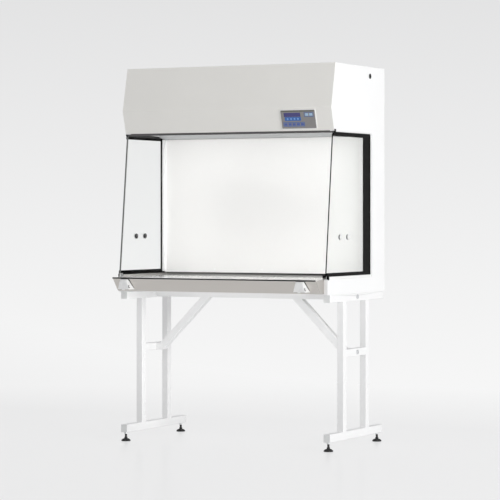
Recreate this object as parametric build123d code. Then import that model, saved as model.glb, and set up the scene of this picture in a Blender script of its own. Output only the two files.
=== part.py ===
from build123d import *
import math
import os

os.makedirs("parts", exist_ok=True)

# Horizontal laminar flow hood on a tube stand.  Millimetres, +X right, +Y back, +Z up.
# Y sizes are measured from the front edge of the side walls, called the wall edge.

# Cabinet
hood_width = 1250.0
hood_depth = 716.0
stand_height = 810.0
sill_rise = 81.0
window_height = 769.0
window_depth = 552.0
fascia_clear = 3.0
fascia_lower = 121.0
fascia_upper = 232.0
fascia_low_set = 77.0
fascia_fold_set = 43.0
fascia_top_set = 94.0
fascia_return = 20.0
sheet = 2.0
bend = 3.0
wall_depth = 25.0
seam_gap = 0.2
cover_flange = 18.0

# Side windows
lip_set = 6.0
frame_margin = 14.0
frame_top_margin = 8.0
lip_under_frame = 4.0
frame_bottom = 19.0
frame_top = 18.0
frame_rear = 90.0
frame_thick = 4.0
frame_groove = 1.5
groove_margin = 14.0
glass_thick = 6.0
glass_gap = 1.0
glass_toe_reach = 3.0
glass_top_set = 79.0
clip_length = 16.0
clip_proud = 2.0
clip_low_tongue = 3.0
clip_top_tongue = 10.0
port_front = 170.0
port_pitch = 95.0
port_rise = 218.0
port_radius = 11.0
port_rim = 14.0
port_flange = 3.0
port_gap = 0.1

# Worktop, apron and base
worktop_rise = 80.0
worktop_reach = 100.0
nosing_drop = 8.0
upstand = 17.0
tray_clear = 2.0
apron_set = 20.0
apron_foot_rise = 7.0
apron_foot_reach = 42.0
apron_tuck = 2.2
apron_lap = 45.0
base_flange = 25.0

# Chamber back, filter and ceiling
chamber_depth = 475.0
screen_flange = 12.0
screen_gap = 0.3
filter_gap = 3.5
filter_depth = 78.0
filter_rim = 20.0
filter_clear = 10.0
pleat_pitch = 20.0
pleat_depth = 56.0
pleat_paper = 2.5
clamp_height = 40.0
screen_drop = 18.0
baffle_depth = 84.0
strip_depth = 20.0
strip_gap = 0.2
deck_height = 37.0
lamp_set = 165.0
lamp_radius = 8.0
lamp_end_set = 50.0
lamp_rise = 17.0
reflector_half = 30.0
reflector_height = 28.0
reflector_foot = 10.0
holder_thick = 7.0
holder_half = 10.0
holder_corner = 3.0

# Fan
fan_set = 330.0
fan_lift = 120.0
wheel_radius = 95.0
wheel_width = 160.0
blade_depth = 20.0
blade_count = 32
blade_thick = 1.5
hub_radius = 18.0
shaft_radius = 8.0
shaft_gap = 0.05
scroll_gap = 12.0
scroll_growth = 46.0
scroll_start = 45.0
scroll_steps = 6
scroll_width = 200.0
scroll_sheet = 2.0
scroll_foot_half = 60.0
hub_back = 6.0
hub_front = 14.0
arm_width = 22.0
motor_radius = 42.0
motor_length = 52.0

# Intake on the top
intake_width = 520.0
intake_depth = 300.0
intake_set = 250.0
slot_width = 8.0
slot_pitch = 20.0
slot_length = 120.0
prefilter_thick = 20.0

# Control panel
panel_side_set = 97.0
panel_width = 198.0
panel_height = 98.0
panel_thick = 4.0
panel_corner = 4.0
panel_rim = 9.0
board_depth = 24.0
display_width = 96.0
display_height = 22.0
display_depth = 1.5
display_gap = 0.2
display_margin = 8.0
key_width = 18.0
key_height = 13.0
key_pitch = 24.0
key_proud = 1.2
key_gap = 0.3
key_flange = 1.5
key_flange_thick = 1.0
key_travel = 0.8
key_count = 5
key_margin = 6.0
key_row_drop = 2.0
key_corner = 1.8
key_edge = 0.8
key_rest_gap = 0.1

# Power sockets on the apron
socket_left_set = 93.0
socket_right_set = 111.0
socket_reach = 110.0
socket_top_width = 42.0
socket_base_width = 70.0
socket_height = 54.0
socket_top_drop = 10.0
lid_thick = 3.7
lid_gap = 0.3
lid_inset = 2.0
barrel_radius = 2.7
pin_radius = 1.2
pin_gap = 0.06
lug_width = 4.0
recess_radius = 19.0
recess_depth = 12.0
insert_thick = 4.0
insert_gap = 0.2
pin_hole_pitch = 19.0
pin_hole_radius = 2.4
earth_hole_radius = 2.0
recess_drop = 4.0
lid_edge = 1.2
lid_tab_width = 16.0
lid_tab_height = 5.0
socket_hole = 24.0

# Cable grommet and screws
grommet_y = 526.0
grommet_drop = 50.0
grommet_radius = 11.0
grommet_bore = 7.0
grommet_rim = 14.0
grommet_lip = 2.0
screw_head = 4.5
screw_proud = 2.0
screw_slot = 1.2
screw_slot_length = 5.0
screw_slot_depth = 0.7

# Stand
tube_width = 36.0
tube_depth = 41.0
rail_height = 40.0
tube_wall = 2.0
tube_corner = 3.0
rail_front = 26.0
rail_rear = 697.0
foot_rail_short = 15.0
foot_rail_lift = 48.0
foot_rail_height = 42.0
front_leg_set = 191.0
rear_leg_set = 474.0
mid_rail_height = 499.0
cap_thick = 2.5
cap_plug = 8.0
cap_gap = 0.2
brace_set = 363.0
brace_depth = 40.0
brace_height = 36.0
brace_bar = 38.0
brace_stub = 34.0
brace_plug = 30.0
vent_radius = 3.0
bolt_radius = 5.0
bolt_gap = 0.3
bolt_length = 60.0
bolt_head_radius = 12.0
bolt_head = 5.0
bolt_key = 3.5

# Levelling feet
foot_front_inset = 21.0
foot_rear_inset = 27.0
foot_pad_radius = 25.0
foot_pad = 5.0
foot_bell_height = 15.0
foot_neck_height = 22.0
foot_neck_radius = 8.5
foot_bulge = 1.5
stud_radius = 6.0
stud_top = 74.0
stud_gap = 0.06
stud_hole_radius = 7.0
stud_chamfer = 1.0
foot_edge = 2.0
nut_flats = 19.0
nut_height = 9.0

# Levels and faces worked out from the sizes above
wall_x = hood_width / 2
edge_y = (socket_reach - hood_depth - screw_proud) / 2
back_y = edge_y + hood_depth
window_low = stand_height + sill_rise
window_high = window_low + window_height
window_rear = edge_y + window_depth
fascia_low = window_high + fascia_clear
fascia_fold = fascia_low + fascia_lower
hood_top = fascia_fold + fascia_upper
worktop_z = stand_height + worktop_rise
nose_y = edge_y - worktop_reach
tray_back = edge_y + chamber_depth - sheet - screen_gap
lip_x = wall_x - lip_set
frame_low = window_low + frame_margin
frame_high = window_high - frame_top_margin
frame_back = window_rear - frame_margin
screen_top = window_high - screen_drop
ceiling_z = fascia_low
deck_z = ceiling_z + deck_height
fan_y = edge_y + fan_set
fan_z = deck_z + fan_lift
filter_y = edge_y + chamber_depth + filter_gap
filter_low = worktop_z + filter_clear
filter_high = screen_top - filter_clear
inner_x = wall_x - wall_depth
tray_half = inner_x - tray_clear
apron_half = wall_x - apron_set
filter_half = inner_x - filter_clear
glass_inner_x = lip_x - glass_thick
lamp_length = 2 * (wall_x - lamp_end_set)
foot_rail_rear = rail_rear - foot_rail_short
foot_front_set = rail_front + foot_front_inset
foot_rear_set = foot_rail_rear - foot_rear_inset


def block(x0, x1, y0, y1, z0, z1):
    """Square block between two corners."""
    centre = Pos((x0 + x1) / 2, (y0 + y1) / 2, (z0 + z1) / 2)
    return centre * Box(x1 - x0, y1 - y0, z1 - z0)


def rod(radius, x0, x1, y, z):
    """Round bar along X."""
    return Pos((x0 + x1) / 2, y, z) * Rot(0, 90, 0) * Cylinder(radius, abs(x1 - x0))


def plate(points, x0, x1):
    """Flat piece cut to an outline in Y and Z, between two X faces."""
    face = make_face(Polyline(*points, close=True))
    return extrude(Plane.YZ.offset(x0) * face, x1 - x0)


def folded(points, x0, x1, thick=sheet, radius=bend):
    """Folded sheet along X, thickened to the left of its path in Y and Z."""
    path = FilletPolyline(*points, radius=radius)
    edge = offset(path, amount=thick, side=Side.LEFT, closed=True)
    return extrude(Plane.YZ.offset(x0) * make_face(edge.edges()), x1 - x0)


def both_sides(shape):
    """A right-hand piece and its mirror image."""
    return [shape, mirror(shape, about=Plane.YZ)]


def save(shape, name):
    """Write one piece, or a group of like pieces, under its name."""
    if isinstance(shape, list):
        shape = Compound(shape)
    export_step(shape, "parts/" + name + ".step")


def inset_line(points, amount):
    """Open polyline moved to its left with square corners."""
    lines = []
    for (ax, ay), (bx, by) in zip(points, points[1:]):
        run = math.hypot(bx - ax, by - ay)
        dx = -(by - ay) / run * amount
        dy = (bx - ax) / run * amount
        lines.append(((ax + dx, ay + dy), (bx + dx, by + dy)))
    moved = [lines[0][0]]
    for (a, b), (c, d) in zip(lines, lines[1:]):
        turn = (b[0] - a[0]) * (d[1] - c[1]) - (b[1] - a[1]) * (d[0] - c[0])
        share = ((c[0] - a[0]) * (d[1] - c[1]) - (c[1] - a[1]) * (d[0] - c[0])) / turn
        moved.append((a[0] + share * (b[0] - a[0]), a[1] + share * (b[1] - a[1])))
    moved.append(lines[-1][1])
    return moved


def at_height(a, b, z):
    """Y at a height on the line through two points."""
    return a[0] + (z - a[1]) / (b[1] - a[1]) * (b[0] - a[0])


# ---------------------------------------------------------------- cabinet shell

fascia_line = [
    (edge_y + fascia_top_set, hood_top),
    (edge_y + fascia_fold_set, fascia_fold),
    (edge_y + fascia_low_set, fascia_low),
]


def glass_front(z):
    """Y of the slanting front edge of the side glass at a height."""
    share = (z - frame_low) / (frame_high - frame_low)
    return edge_y - glass_toe_reach + share * (glass_toe_reach + glass_top_set)


def side_panel():
    """Right side panel: a folded tray with a stepped window for the glass."""
    front = inset_line(fascia_line, sheet + seam_gap)
    top = hood_top - sheet
    top_y = at_height(front[0], front[1], top)
    low_y = at_height(front[1], front[2], window_high)
    outline = [
        (edge_y, stand_height),
        (edge_y, window_low),
        (window_rear, window_low),
        (window_rear, window_high),
        (low_y, window_high),
        front[1],
        (top_y, top),
        (back_y - sheet, top),
        (back_y - sheet, stand_height),
    ]
    face = make_face(Polyline(*outline, close=True))
    hollow = offset(face, -sheet, kind=Kind.INTERSECTION)
    panel = extrude(Plane.YZ.offset(inner_x) * face, wall_depth)
    panel -= extrude(Plane.YZ.offset(inner_x) * hollow, wall_depth - sheet)
    lap = frame_margin + lip_under_frame
    top_lap = frame_top_margin + lip_under_frame
    lip = [
        (edge_y, window_low - sheet),
        (window_rear + sheet, window_low - sheet),
        (window_rear + sheet, window_high + sheet),
        (low_y + sheet, window_high + sheet),
        (low_y + sheet, window_high - top_lap),
        (window_rear - lap, window_high - top_lap),
        (window_rear - lap, window_low + lap),
        (edge_y, window_low + lap),
    ]
    return panel + plate(lip, lip_x - sheet, lip_x)


def grommet_hole():
    """Round tool through the side panel's skin at the cable entry."""
    centre = (edge_y + grommet_y, hood_top - grommet_drop)
    return rod(grommet_radius, wall_x - 2 * sheet, wall_x + sheet, *centre)


def fascia():
    """Front fascia: one sheet folded at the middle, with a return at the foot."""
    shell = folded(fascia_line, -wall_x, wall_x)
    foot = [fascia_line[1], fascia_line[2], (edge_y + fascia_low_set + fascia_return, fascia_low)]
    shell += folded(foot, -tray_half, tray_half)
    opening = Box(panel_width - 2 * panel_rim, panel_height - 2 * panel_rim, 4 * panel_thick)
    return shell - panel_place(0, 0, 0) * opening


def top_cover():
    """Top sheet over both side panels, with a flanged tray between them."""
    front = edge_y + fascia_top_set + sheet + seam_gap
    back = back_y - sheet
    skin = block(-wall_x, wall_x, front, back, hood_top - sheet, hood_top)
    path = [
        (back, hood_top - cover_flange),
        (back, hood_top),
        (front, hood_top),
        (front, hood_top - cover_flange),
    ]
    skin += folded(path, -tray_half, tray_half)
    x0 = -intake_width / 2
    y0 = edge_y + intake_set
    return skin - block(x0, -x0, y0, y0 + intake_depth, hood_top - 2 * sheet, hood_top + sheet)


def intake_grille():
    """Slotted intake plate under the opening in the top cover."""
    rim = slot_pitch / 2 + sheet
    x0 = -intake_width / 2 - rim
    y0 = edge_y + intake_set - rim
    y1 = y0 + intake_depth + 2 * rim
    top = hood_top - sheet
    grille = block(x0, -x0, y0, y1, top - sheet, top)
    columns = int((intake_width - slot_pitch) / slot_pitch)
    first = -(columns - 1) * slot_pitch / 2
    mid = (y0 + y1) / 2
    offset_y = (slot_length + slot_pitch) / 2
    cutters = []
    for column in range(columns):
        for row_y in (mid - offset_y, mid + offset_y):
            x = first + column * slot_pitch
            cutters.append(Pos(x, row_y, top) * Box(slot_width, slot_length, 4 * sheet))
    return grille - cutters


def prefilter():
    """Washable prefilter pad held under the intake plate."""
    half = intake_width / 2
    y0 = edge_y + intake_set
    top = hood_top - 2 * sheet
    pad = block(-half, half, y0, y0 + intake_depth, top - prefilter_thick, top)
    return chamfer(pad.edges().filter_by(Axis.Z), sheet)


def back_panel():
    """Back sheet with flanges that tuck between the side panels."""
    low = stand_height + base_flange + seam_gap
    high = hood_top - cover_flange - seam_gap
    path = [
        (back_y - sheet - cover_flange, low),
        (back_y, low),
        (back_y, high),
        (back_y - sheet - cover_flange, high),
    ]
    tray = folded(path, -tray_half, tray_half)
    return tray + block(-wall_x, wall_x, back_y - sheet, back_y, stand_height, hood_top)


def screw_places():
    """Centres of the back panel's screws, as X and Z."""
    side = wall_x - wall_depth / 2
    low = stand_height + wall_depth
    high = hood_top - wall_depth
    heights = [low + (high - low) * i / 4 for i in range(5)]
    places = [(x, z) for z in heights for x in (-side, side)]
    places += [(x, z) for x in (-side / 3, side / 3) for z in (low, high)]
    return places


def back_screws():
    """Pan-head screws of the back panel."""
    screws = []
    for x, z in screw_places():
        head = Pos(x, back_y + screw_proud / 2, z) * Rot(90, 0, 0) * Cylinder(screw_head, screw_proud)
        head = chamfer(head.edges().group_by(Axis.Y)[-1], screw_proud / 3)
        for width, height in ((screw_slot_length, screw_slot), (screw_slot, screw_slot_length)):
            head -= Pos(x, back_y + screw_proud, z) * Box(width, 2 * screw_slot_depth, height)
        screws.append(head)
    return screws


def base_pan():
    """Floor of the cabinet, turned up at the front and at the back."""
    path = [
        (edge_y, worktop_z - sheet),
        (edge_y, stand_height),
        (back_y - sheet, stand_height),
        (back_y - sheet, stand_height + base_flange),
    ]
    return folded(path, -inner_x, inner_x)


# ---------------------------------------------------------------- side windows


def window_frame():
    """Black C-shaped frame that holds the right side glass."""
    low_front = glass_front(frame_low)
    outline = [
        (low_front, frame_low),
        (frame_back, frame_low),
        (frame_back, frame_high),
        (glass_front(frame_high), frame_high),
        (glass_front(frame_high - frame_top), frame_high - frame_top),
        (frame_back - frame_rear, frame_high - frame_top),
        (frame_back - frame_rear, frame_low + frame_bottom),
        (glass_front(frame_low + frame_bottom), frame_low + frame_bottom),
    ]
    frame = plate(outline, lip_x, lip_x + frame_thick)
    groove_front = frame_back - frame_rear + groove_margin
    groove = block(
        lip_x + frame_thick - frame_groove,
        lip_x + 2 * frame_thick,
        groove_front,
        frame_back - groove_margin,
        frame_low + groove_margin,
        frame_high - groove_margin,
    )
    return frame - groove


def port_places():
    """Centres of the two service ports in a side glass, as Y and Z."""
    z = worktop_z + port_rise
    return [(edge_y + port_front, z), (edge_y + port_front + port_pitch, z)]


def side_glass():
    """Right side pane behind its frame, with two bored service ports."""
    inset = lip_under_frame + glass_gap
    low = frame_low + inset
    high = frame_high - inset
    rear = frame_back - inset
    outline = [
        (glass_front(low), low),
        (rear, low),
        (rear, high),
        (glass_front(high), high),
    ]
    pane = plate(outline, lip_x - glass_thick, lip_x)
    for y, z in port_places():
        pane -= rod(port_radius, lip_x - 2 * glass_thick, lip_x + glass_thick, y, z)
    return pane


def port_plug(y, z):
    """Turned plug in a service port, flanged on the chamber side."""
    inner = lip_x - glass_thick
    plug = rod(port_radius - port_gap, inner, lip_x, y, z)
    rim = rod(port_rim, inner - port_flange, inner, y, z)
    rim = fillet(rim.edges().group_by(Axis.X)[0], port_flange / 2)
    return plug + rim


def port_cap(y, z):
    """Outside cap of a service port."""
    cap = rod(port_rim, lip_x, lip_x + port_flange, y, z)
    return fillet(cap.edges().group_by(Axis.X)[-1], port_flange / 2)


def glass_clip(y, z0, z1, tongue):
    """Clip between the window's edge and a front corner of the frame, lapped over the wall."""
    body = block(lip_x, wall_x + clip_proud, y, y + clip_length, z0, z1)
    z2, z3 = sorted((z0 - tongue, z0) if z0 < frame_low else (z1, z1 + tongue))
    body += block(wall_x, wall_x + clip_proud, y, y + clip_length, z2, z3)
    return fillet(body.edges().filter_by(Axis.X).group_by(Axis.Y)[0], clip_proud / 2)


# ---------------------------------------------------------------- worktop and apron


def worktop():
    """Stainless worktop with a turned-down nosing, wider in front of the walls."""
    half = tray_half - sheet
    lip = [(nose_y, worktop_z), (nose_y, worktop_z - nosing_drop)]
    tray = folded([(tray_back, worktop_z), *lip], -half, half)
    return tray + folded([(edge_y, worktop_z), *lip], -apron_half, apron_half)


def worktop_upstands():
    """Upright strips along the back and both ends of the worktop, beside its sheet."""
    low = worktop_z - sheet
    top = worktop_z + upstand
    rear = block(-tray_half, tray_half, tray_back, tray_back + sheet, low, top)
    side = block(tray_half - sheet, tray_half, edge_y, tray_back, low, top)
    rear = chamfer(rear.edges().filter_by(Axis.X).group_by(Axis.Z)[-1], sheet / 4)
    side = fillet(side.edges().filter_by(Axis.X).group_by(Axis.Y)[0].group_by(Axis.Z)[-1], upstand / 2)
    return [rear] + both_sides(side)


socket_places = {"left": socket_left_set - wall_x, "right": wall_x - socket_right_set}
apron_top = (nose_y + apron_tuck, worktop_z - sheet)
apron_foot = (edge_y - apron_foot_reach, stand_height + apron_foot_rise)


def front_apron():
    """Stainless apron under the nosing, folded back at top and foot, with end cheeks."""
    path = [
        (apron_top[0] + apron_lap, apron_top[1]),
        apron_top,
        apron_foot,
        (edge_y, apron_foot[1]),
    ]
    apron = folded(path, -apron_half, apron_half)
    cheek = [
        (apron_top[0] + 2 * sheet, apron_top[1]),
        (apron_foot[0] + sheet, apron_foot[1] + sheet / 2),
        (edge_y, apron_foot[1]),
        (edge_y, apron_top[1]),
    ]
    for end in both_sides(plate(cheek, apron_half - sheet, apron_half)):
        apron += end
    half = socket_hole / 2
    hole_z = worktop_z - socket_top_drop - socket_height / 2
    for x in socket_places.values():
        hole = block(x - half, x + half, nose_y, edge_y, hole_z - half, hole_z + half)
        apron -= hole & apron_zone()
    return apron


def apron_zone():
    """Slab that holds only the apron's sloping sheet."""
    (top_y, top_z), (foot_y, foot_z) = apron_top, apron_foot
    reach = 4 * sheet
    slab = [
        (top_y - reach, top_z),
        (foot_y - reach, foot_z),
        (foot_y + reach, foot_z),
        (top_y + reach, top_z),
    ]
    return plate(slab, -apron_half, apron_half)


# ---------------------------------------------------------------- power sockets

lid_front = edge_y - socket_reach
lid_back = lid_front + lid_thick
socket_face = lid_back + lid_gap
hinge_y = lid_front + barrel_radius
socket_top = worktop_z - socket_top_drop
hinge_z = socket_top - barrel_radius - 1
socket_low = socket_top - socket_height
recess_z = socket_low + socket_height / 2 - recess_drop


def half_width(z):
    """Half the tapered housing's width at a height."""
    share = (socket_top - z) / socket_height
    return (socket_top_width + share * (socket_base_width - socket_top_width)) / 2


def front_outline(z0, z1, inset):
    """Tapered outline between two heights, as a face in X and Z."""
    low = half_width(z0) - inset
    high = half_width(z1) - inset
    face = make_face(Polyline((-low, z0), (low, z0), (high, z1), (-high, z1), close=True))
    return face


def socket_body(x):
    """Tapered socket housing that stands on the sloping apron."""
    face = front_outline(socket_low, socket_top, 0)
    front = Plane((0, socket_face, 0), x_dir=(1, 0, 0), z_dir=(0, -1, 0))
    solid = extrude(front * face, -2 * socket_height)
    solid = fillet(solid.edges().group_by(Axis.Y)[0], sheet)
    far = apron_foot[0] + socket_reach + 4 * socket_height
    behind = [apron_top, apron_foot, (far, apron_foot[1]), (far, apron_top[1])]
    solid -= plate(behind, -socket_base_width, socket_base_width)
    recess = Cylinder(recess_radius, recess_depth)
    solid -= Pos(0, socket_face + recess_depth / 2, recess_z) * Rot(90, 0, 0) * recess
    inner = lug_inner()
    outer = inner + lug_width
    solid -= rod(barrel_radius + lid_gap, -inner, inner, hinge_y, hinge_z)
    for side in (-1, 1):
        x0, x1 = sorted((side * inner, side * outer))
        lug = rod(barrel_radius, x0, x1, hinge_y, hinge_z)
        low, high = hinge_z - barrel_radius, hinge_z + barrel_radius
        lug += block(x0, x1, hinge_y, socket_face + sheet / 2, low, high)
        solid += lug
        pin_end = (inner + outer + sheet) / 2
        solid -= rod(pin_radius + pin_gap, side * (inner - sheet), side * pin_end, hinge_y, hinge_z)
    return Pos(x, 0, 0) * solid


def lug_inner():
    """Half the gap between the hinge lugs."""
    return socket_top_width / 2 - lug_width - sheet


def socket_lid(x):
    """Sprung lid with a finger tab, hung from its barrel between the lugs."""
    shoulder = hinge_z - 2 * barrel_radius - lid_gap
    low = socket_low + lid_inset
    plane = Plane((0, lid_back, 0), x_dir=(1, 0, 0), z_dir=(0, -1, 0))
    lid = extrude(plane * front_outline(low, shoulder, lid_inset), lid_thick)
    lid = fillet(lid.edges().group_by(Axis.Y)[0], lid_edge)
    half = lid_tab_width / 2
    tab = block(-half, half, lid_front, lid_back, low - lid_tab_height, low + sheet)
    lid += fillet(tab.edges().filter_by(Axis.Y).group_by(Axis.Z)[0], lid_edge)
    neck = lug_inner() - lid_gap
    lid += block(-neck, neck, lid_front + lid_edge / 2, lid_back, shoulder - sheet, hinge_z)
    lid += rod(barrel_radius, -neck, neck, hinge_y, hinge_z)
    pin_half = lug_inner() + lug_width / 2
    lid += rod(pin_radius, -pin_half, pin_half, hinge_y, hinge_z)
    return Pos(x, 0, 0) * lid


def socket_insert(x):
    """Round contact insert at the bottom of the socket's recess."""
    centre_y = socket_face + recess_depth - insert_thick / 2
    disc = Pos(0, centre_y, recess_z) * Rot(90, 0, 0) * Cylinder(recess_radius - insert_gap, insert_thick)
    reach = pin_hole_pitch / 2
    holes = [(-reach, 0, pin_hole_radius), (reach, 0, pin_hole_radius), (0, reach, earth_hole_radius)]
    for dx, dz, radius in holes:
        disc -= Pos(dx, centre_y, recess_z + dz) * Rot(90, 0, 0) * Cylinder(radius, 2 * insert_thick)
    return Pos(x, 0, 0) * disc


# ---------------------------------------------------------------- filter and ceiling


def diffuser_screen():
    """White screen at the back of the chamber, top and bottom edges turned back."""
    y = edge_y + chamber_depth
    turn = y + screen_flange / 4
    high = screen_top - seam_gap
    path = [(turn, high), (y, high), (y, worktop_z), (turn, worktop_z)]
    return folded(path, -tray_half, tray_half, radius=sheet / 4)


def corner_strips():
    """Upright strips that close the gap between the screen and the side glass."""
    back = edge_y + chamber_depth + sheet
    low = worktop_z + upstand + seam_gap
    high = screen_top - seam_gap
    strip = block(tray_half + strip_gap, glass_inner_x, back - sheet - strip_depth, back, low, high)
    strip = fillet(strip.edges().filter_by(Axis.Z).group_by(Axis.Y)[0].group_by(Axis.X)[0], bend)
    return both_sides(strip)


def filter_frame():
    """Rim of the main filter."""
    outer = block(-filter_half, filter_half, filter_y, filter_y + filter_depth, filter_low, filter_high)
    x = filter_half - filter_rim
    inner = block(-x, x, filter_y - sheet, filter_y + filter_depth + sheet,
                  filter_low + filter_rim, filter_high - filter_rim)
    return outer - inner


def filter_pack():
    """Pleated filter paper between the rims."""
    half = filter_half - filter_rim
    count = int(2 * half / pleat_pitch)
    pitch = 2 * half / count
    y0 = filter_y + (filter_depth - pleat_depth) / 2
    front = []
    back = []
    for i in range(count):
        x = -half + i * pitch
        front += [(x, y0), (x + pitch / 2, y0 + pleat_depth - pleat_paper)]
        back += [(x, y0 + pleat_paper), (x + pitch / 2, y0 + pleat_depth)]
    front.append((half, y0))
    back.append((half, y0 + pleat_paper))
    face = make_face(Polyline(*front, *reversed(back), close=True))
    low = filter_low + filter_rim
    return extrude(Plane.XY.offset(low) * face, filter_high - filter_rim - low)


def filter_clamps():
    """Angle clamps that hold the filter by its rim."""
    back = filter_y + filter_depth
    clamps = []
    rise = (filter_high - filter_low) / 4
    for z in (filter_low + rise, filter_high - rise):
        points = [
            (filter_half - filter_rim, back),
            (filter_half - filter_rim, back + sheet),
            (inner_x, back + sheet),
            (inner_x, window_rear),
            (inner_x - sheet, window_rear),
            (inner_x - sheet, back),
        ]
        face = make_face(Polyline(*points, close=True))
        clamps += both_sides(extrude(Plane.XY.offset(z - clamp_height / 2) * face, clamp_height))
    return clamps


def chamber_ceiling():
    """Ceiling pan with a sloping baffle at the back, slotted for the lamp."""
    front = edge_y + fascia_low_set + fascia_return + seam_gap
    back = edge_y + chamber_depth - sheet
    slope = [(back - baffle_depth, ceiling_z), (back, screen_top)]
    pan = folded([(front, deck_z), (front, ceiling_z), *slope, (back, deck_z)], -tray_half, tray_half)
    low_y = at_height(*slope, window_high - seam_gap)
    high_y = back - 2 * bend
    rise = (ceiling_z - screen_top) / baffle_depth
    skirt = [
        (low_y, window_high - seam_gap),
        (high_y, screen_top + rise * 2 * bend),
        (high_y, screen_top + rise * 2 * bend + sheet),
        (low_y + sheet / rise, window_high - seam_gap),
    ]
    pan += plate(skirt, -glass_inner_x + strip_gap, glass_inner_x - strip_gap)
    y = edge_y + lamp_set
    half = lamp_length / 2 + holder_thick
    low = ceiling_z - sheet
    return pan - block(-half, half, y - reflector_half, y + reflector_half, low, ceiling_z + 2 * sheet)


def lamp_reflector():
    """Hat-section reflector over the lamp slot."""
    y = edge_y + lamp_set
    low = ceiling_z + 2 * sheet
    top = low + reflector_height
    edge = reflector_half + reflector_foot
    path = [
        (y + edge, low),
        (y + reflector_half, low),
        (y + reflector_half / 2, top),
        (y - reflector_half / 2, top),
        (y - reflector_half, low),
        (y - edge, low),
    ]
    half = lamp_length / 2 + holder_thick
    return folded(path, -half, half)


def lamp_tube():
    """Fluorescent tube."""
    z = ceiling_z + lamp_rise
    tube = rod(lamp_radius, -lamp_length / 2, lamp_length / 2, edge_y + lamp_set, z)
    return chamfer(tube.edges(), lamp_radius / 8)


def lamp_holders():
    """End holders that carry the tube from the reflector."""
    z = ceiling_z + lamp_rise
    y = edge_y + lamp_set
    x0 = lamp_length / 2
    top = ceiling_z + sheet + reflector_height
    holder = block(x0, x0 + holder_thick, y - holder_half, y + holder_half, z - lamp_radius, top)
    return both_sides(fillet(holder.edges().filter_by(Axis.X), holder_corner))


def lamp_cover():
    """Frosted strip that closes the lamp slot flush with the ceiling."""
    y = edge_y + lamp_set
    half = lamp_length / 2 + holder_thick - seam_gap
    reach = reflector_half - seam_gap
    return block(-half, half, y - reach, y + reach, ceiling_z, ceiling_z + sheet)


def fan_deck():
    """Deck over the ceiling that carries the fan."""
    front = edge_y + fascia_low_set + fascia_return + seam_gap
    back = filter_y + filter_depth
    path = [
        (back, deck_z - cover_flange),
        (back, deck_z + sheet),
        (front, deck_z + sheet),
    ]
    return folded(path, sheet - wall_x, wall_x - sheet)


# ---------------------------------------------------------------- fan


def scroll_radius(turn):
    """Distance of the scroll's sheet from the shaft after a share of its turn."""
    return wheel_radius + scroll_gap + scroll_growth * turn


def scroll_face(inset):
    """Outline of the scroll in Y and Z, pulled in all round except at its mouth."""
    points = []
    for i in range(scroll_steps + 1):
        turn = i / scroll_steps
        angle = math.radians(-scroll_start - turn * (270 - scroll_start))
        reach = scroll_radius(turn) - inset
        points.append((fan_y + reach * math.cos(angle), fan_z + reach * math.sin(angle)))
    low, top = points[0], points[-1]
    mouth = filter_y + filter_depth
    tail = Polyline(top, (mouth, top[1]), (mouth, low[1]), low)
    return make_face(Wire([Spline(*points)] + list(tail.edges())))


def fan_scroll():
    """Volute housing with two round inlets, a rear mouth and feet on the deck."""
    half = scroll_width / 2
    housing = extrude(Plane.YZ.offset(-half) * scroll_face(0), scroll_width)
    foot_half = scroll_foot_half
    foot = block(-half, half, fan_y - foot_half, fan_y + foot_half, deck_z + sheet, fan_z - wheel_radius)
    housing += foot
    bore = scroll_width - 2 * scroll_sheet
    housing -= extrude(Plane.YZ.offset(-bore / 2) * scroll_face(scroll_sheet), bore)
    reach = foot_half + scroll_sheet
    inner_foot = block(-bore / 2, bore / 2, fan_y - reach, fan_y + reach, deck_z, fan_z - wheel_radius)
    inner_foot -= extrude(Plane.YZ.offset(-half) * scroll_face(0), scroll_width)
    housing -= inner_foot
    inlet = wheel_radius - blade_depth
    return housing - rod(inlet, -half - 1, half + 1, fan_y, fan_z)


def fan_impeller():
    """Forward-curved double-inlet wheel on its shaft."""
    inner = wheel_radius - blade_depth
    half = wheel_width / 2
    disc = rod(wheel_radius, -sheet / 2, sheet / 2, fan_y, fan_z)
    wheel = disc + rod(hub_radius, -hub_back, hub_front, fan_y, fan_z)
    for x0 in (-half, half - sheet):
        ring = rod(wheel_radius, x0, x0 + sheet, fan_y, fan_z)
        wheel += ring - rod(inner, x0 - 1, x0 + sheet + 1, fan_y, fan_z)
    bow = blade_depth * 0.42
    mid = (wheel_radius + inner) / 2
    blade_line = ThreePointArc((inner + blade_thick, 0), (mid, -bow), (wheel_radius - blade_thick, 0))
    edge = offset(blade_line, amount=blade_thick, side=Side.LEFT, closed=True)
    blade = extrude(make_face(edge.edges()), wheel_width - sheet)
    blades = []
    for i in range(blade_count):
        turned = Rot(0, 0, i * 360 / blade_count) * blade
        blades.append(Pos(sheet / 2 - half, fan_y, fan_z) * Rot(0, 90, 0) * turned)
    wheel = wheel.fuse(*blades)
    shaft = rod(shaft_radius, -hub_radius - motor_length / 2, hub_front, fan_y, fan_z)
    return wheel + shaft


def fan_motor():
    """Motor inside the wheel, held by a three-armed spider on the scroll's side."""
    end = -hub_radius / 2
    start = end - motor_length
    half = scroll_width / 2
    motor = rod(motor_radius, start, end, fan_y, fan_z)
    motor = chamfer(motor.edges().filter_by(GeomType.CIRCLE), 3)
    motor += rod(motor_radius / 2, -half - sheet, start, fan_y, fan_z)
    arm_reach = wheel_radius + scroll_gap / 2
    for i in range(3):
        arm = Pos(-half - sheet / 2, 0, 0) * Box(sheet, arm_width, arm_reach)
        arm = Pos(0, 0, arm_reach / 2) * arm
        motor += Pos(0, fan_y, fan_z) * Rot(i * 120 + 30, 0, 0) * arm
    depth = hub_radius + motor_length / 2 + 1
    return motor - rod(shaft_radius + shaft_gap, -depth, end + 1, fan_y, fan_z)


# ---------------------------------------------------------------- control panel


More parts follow.
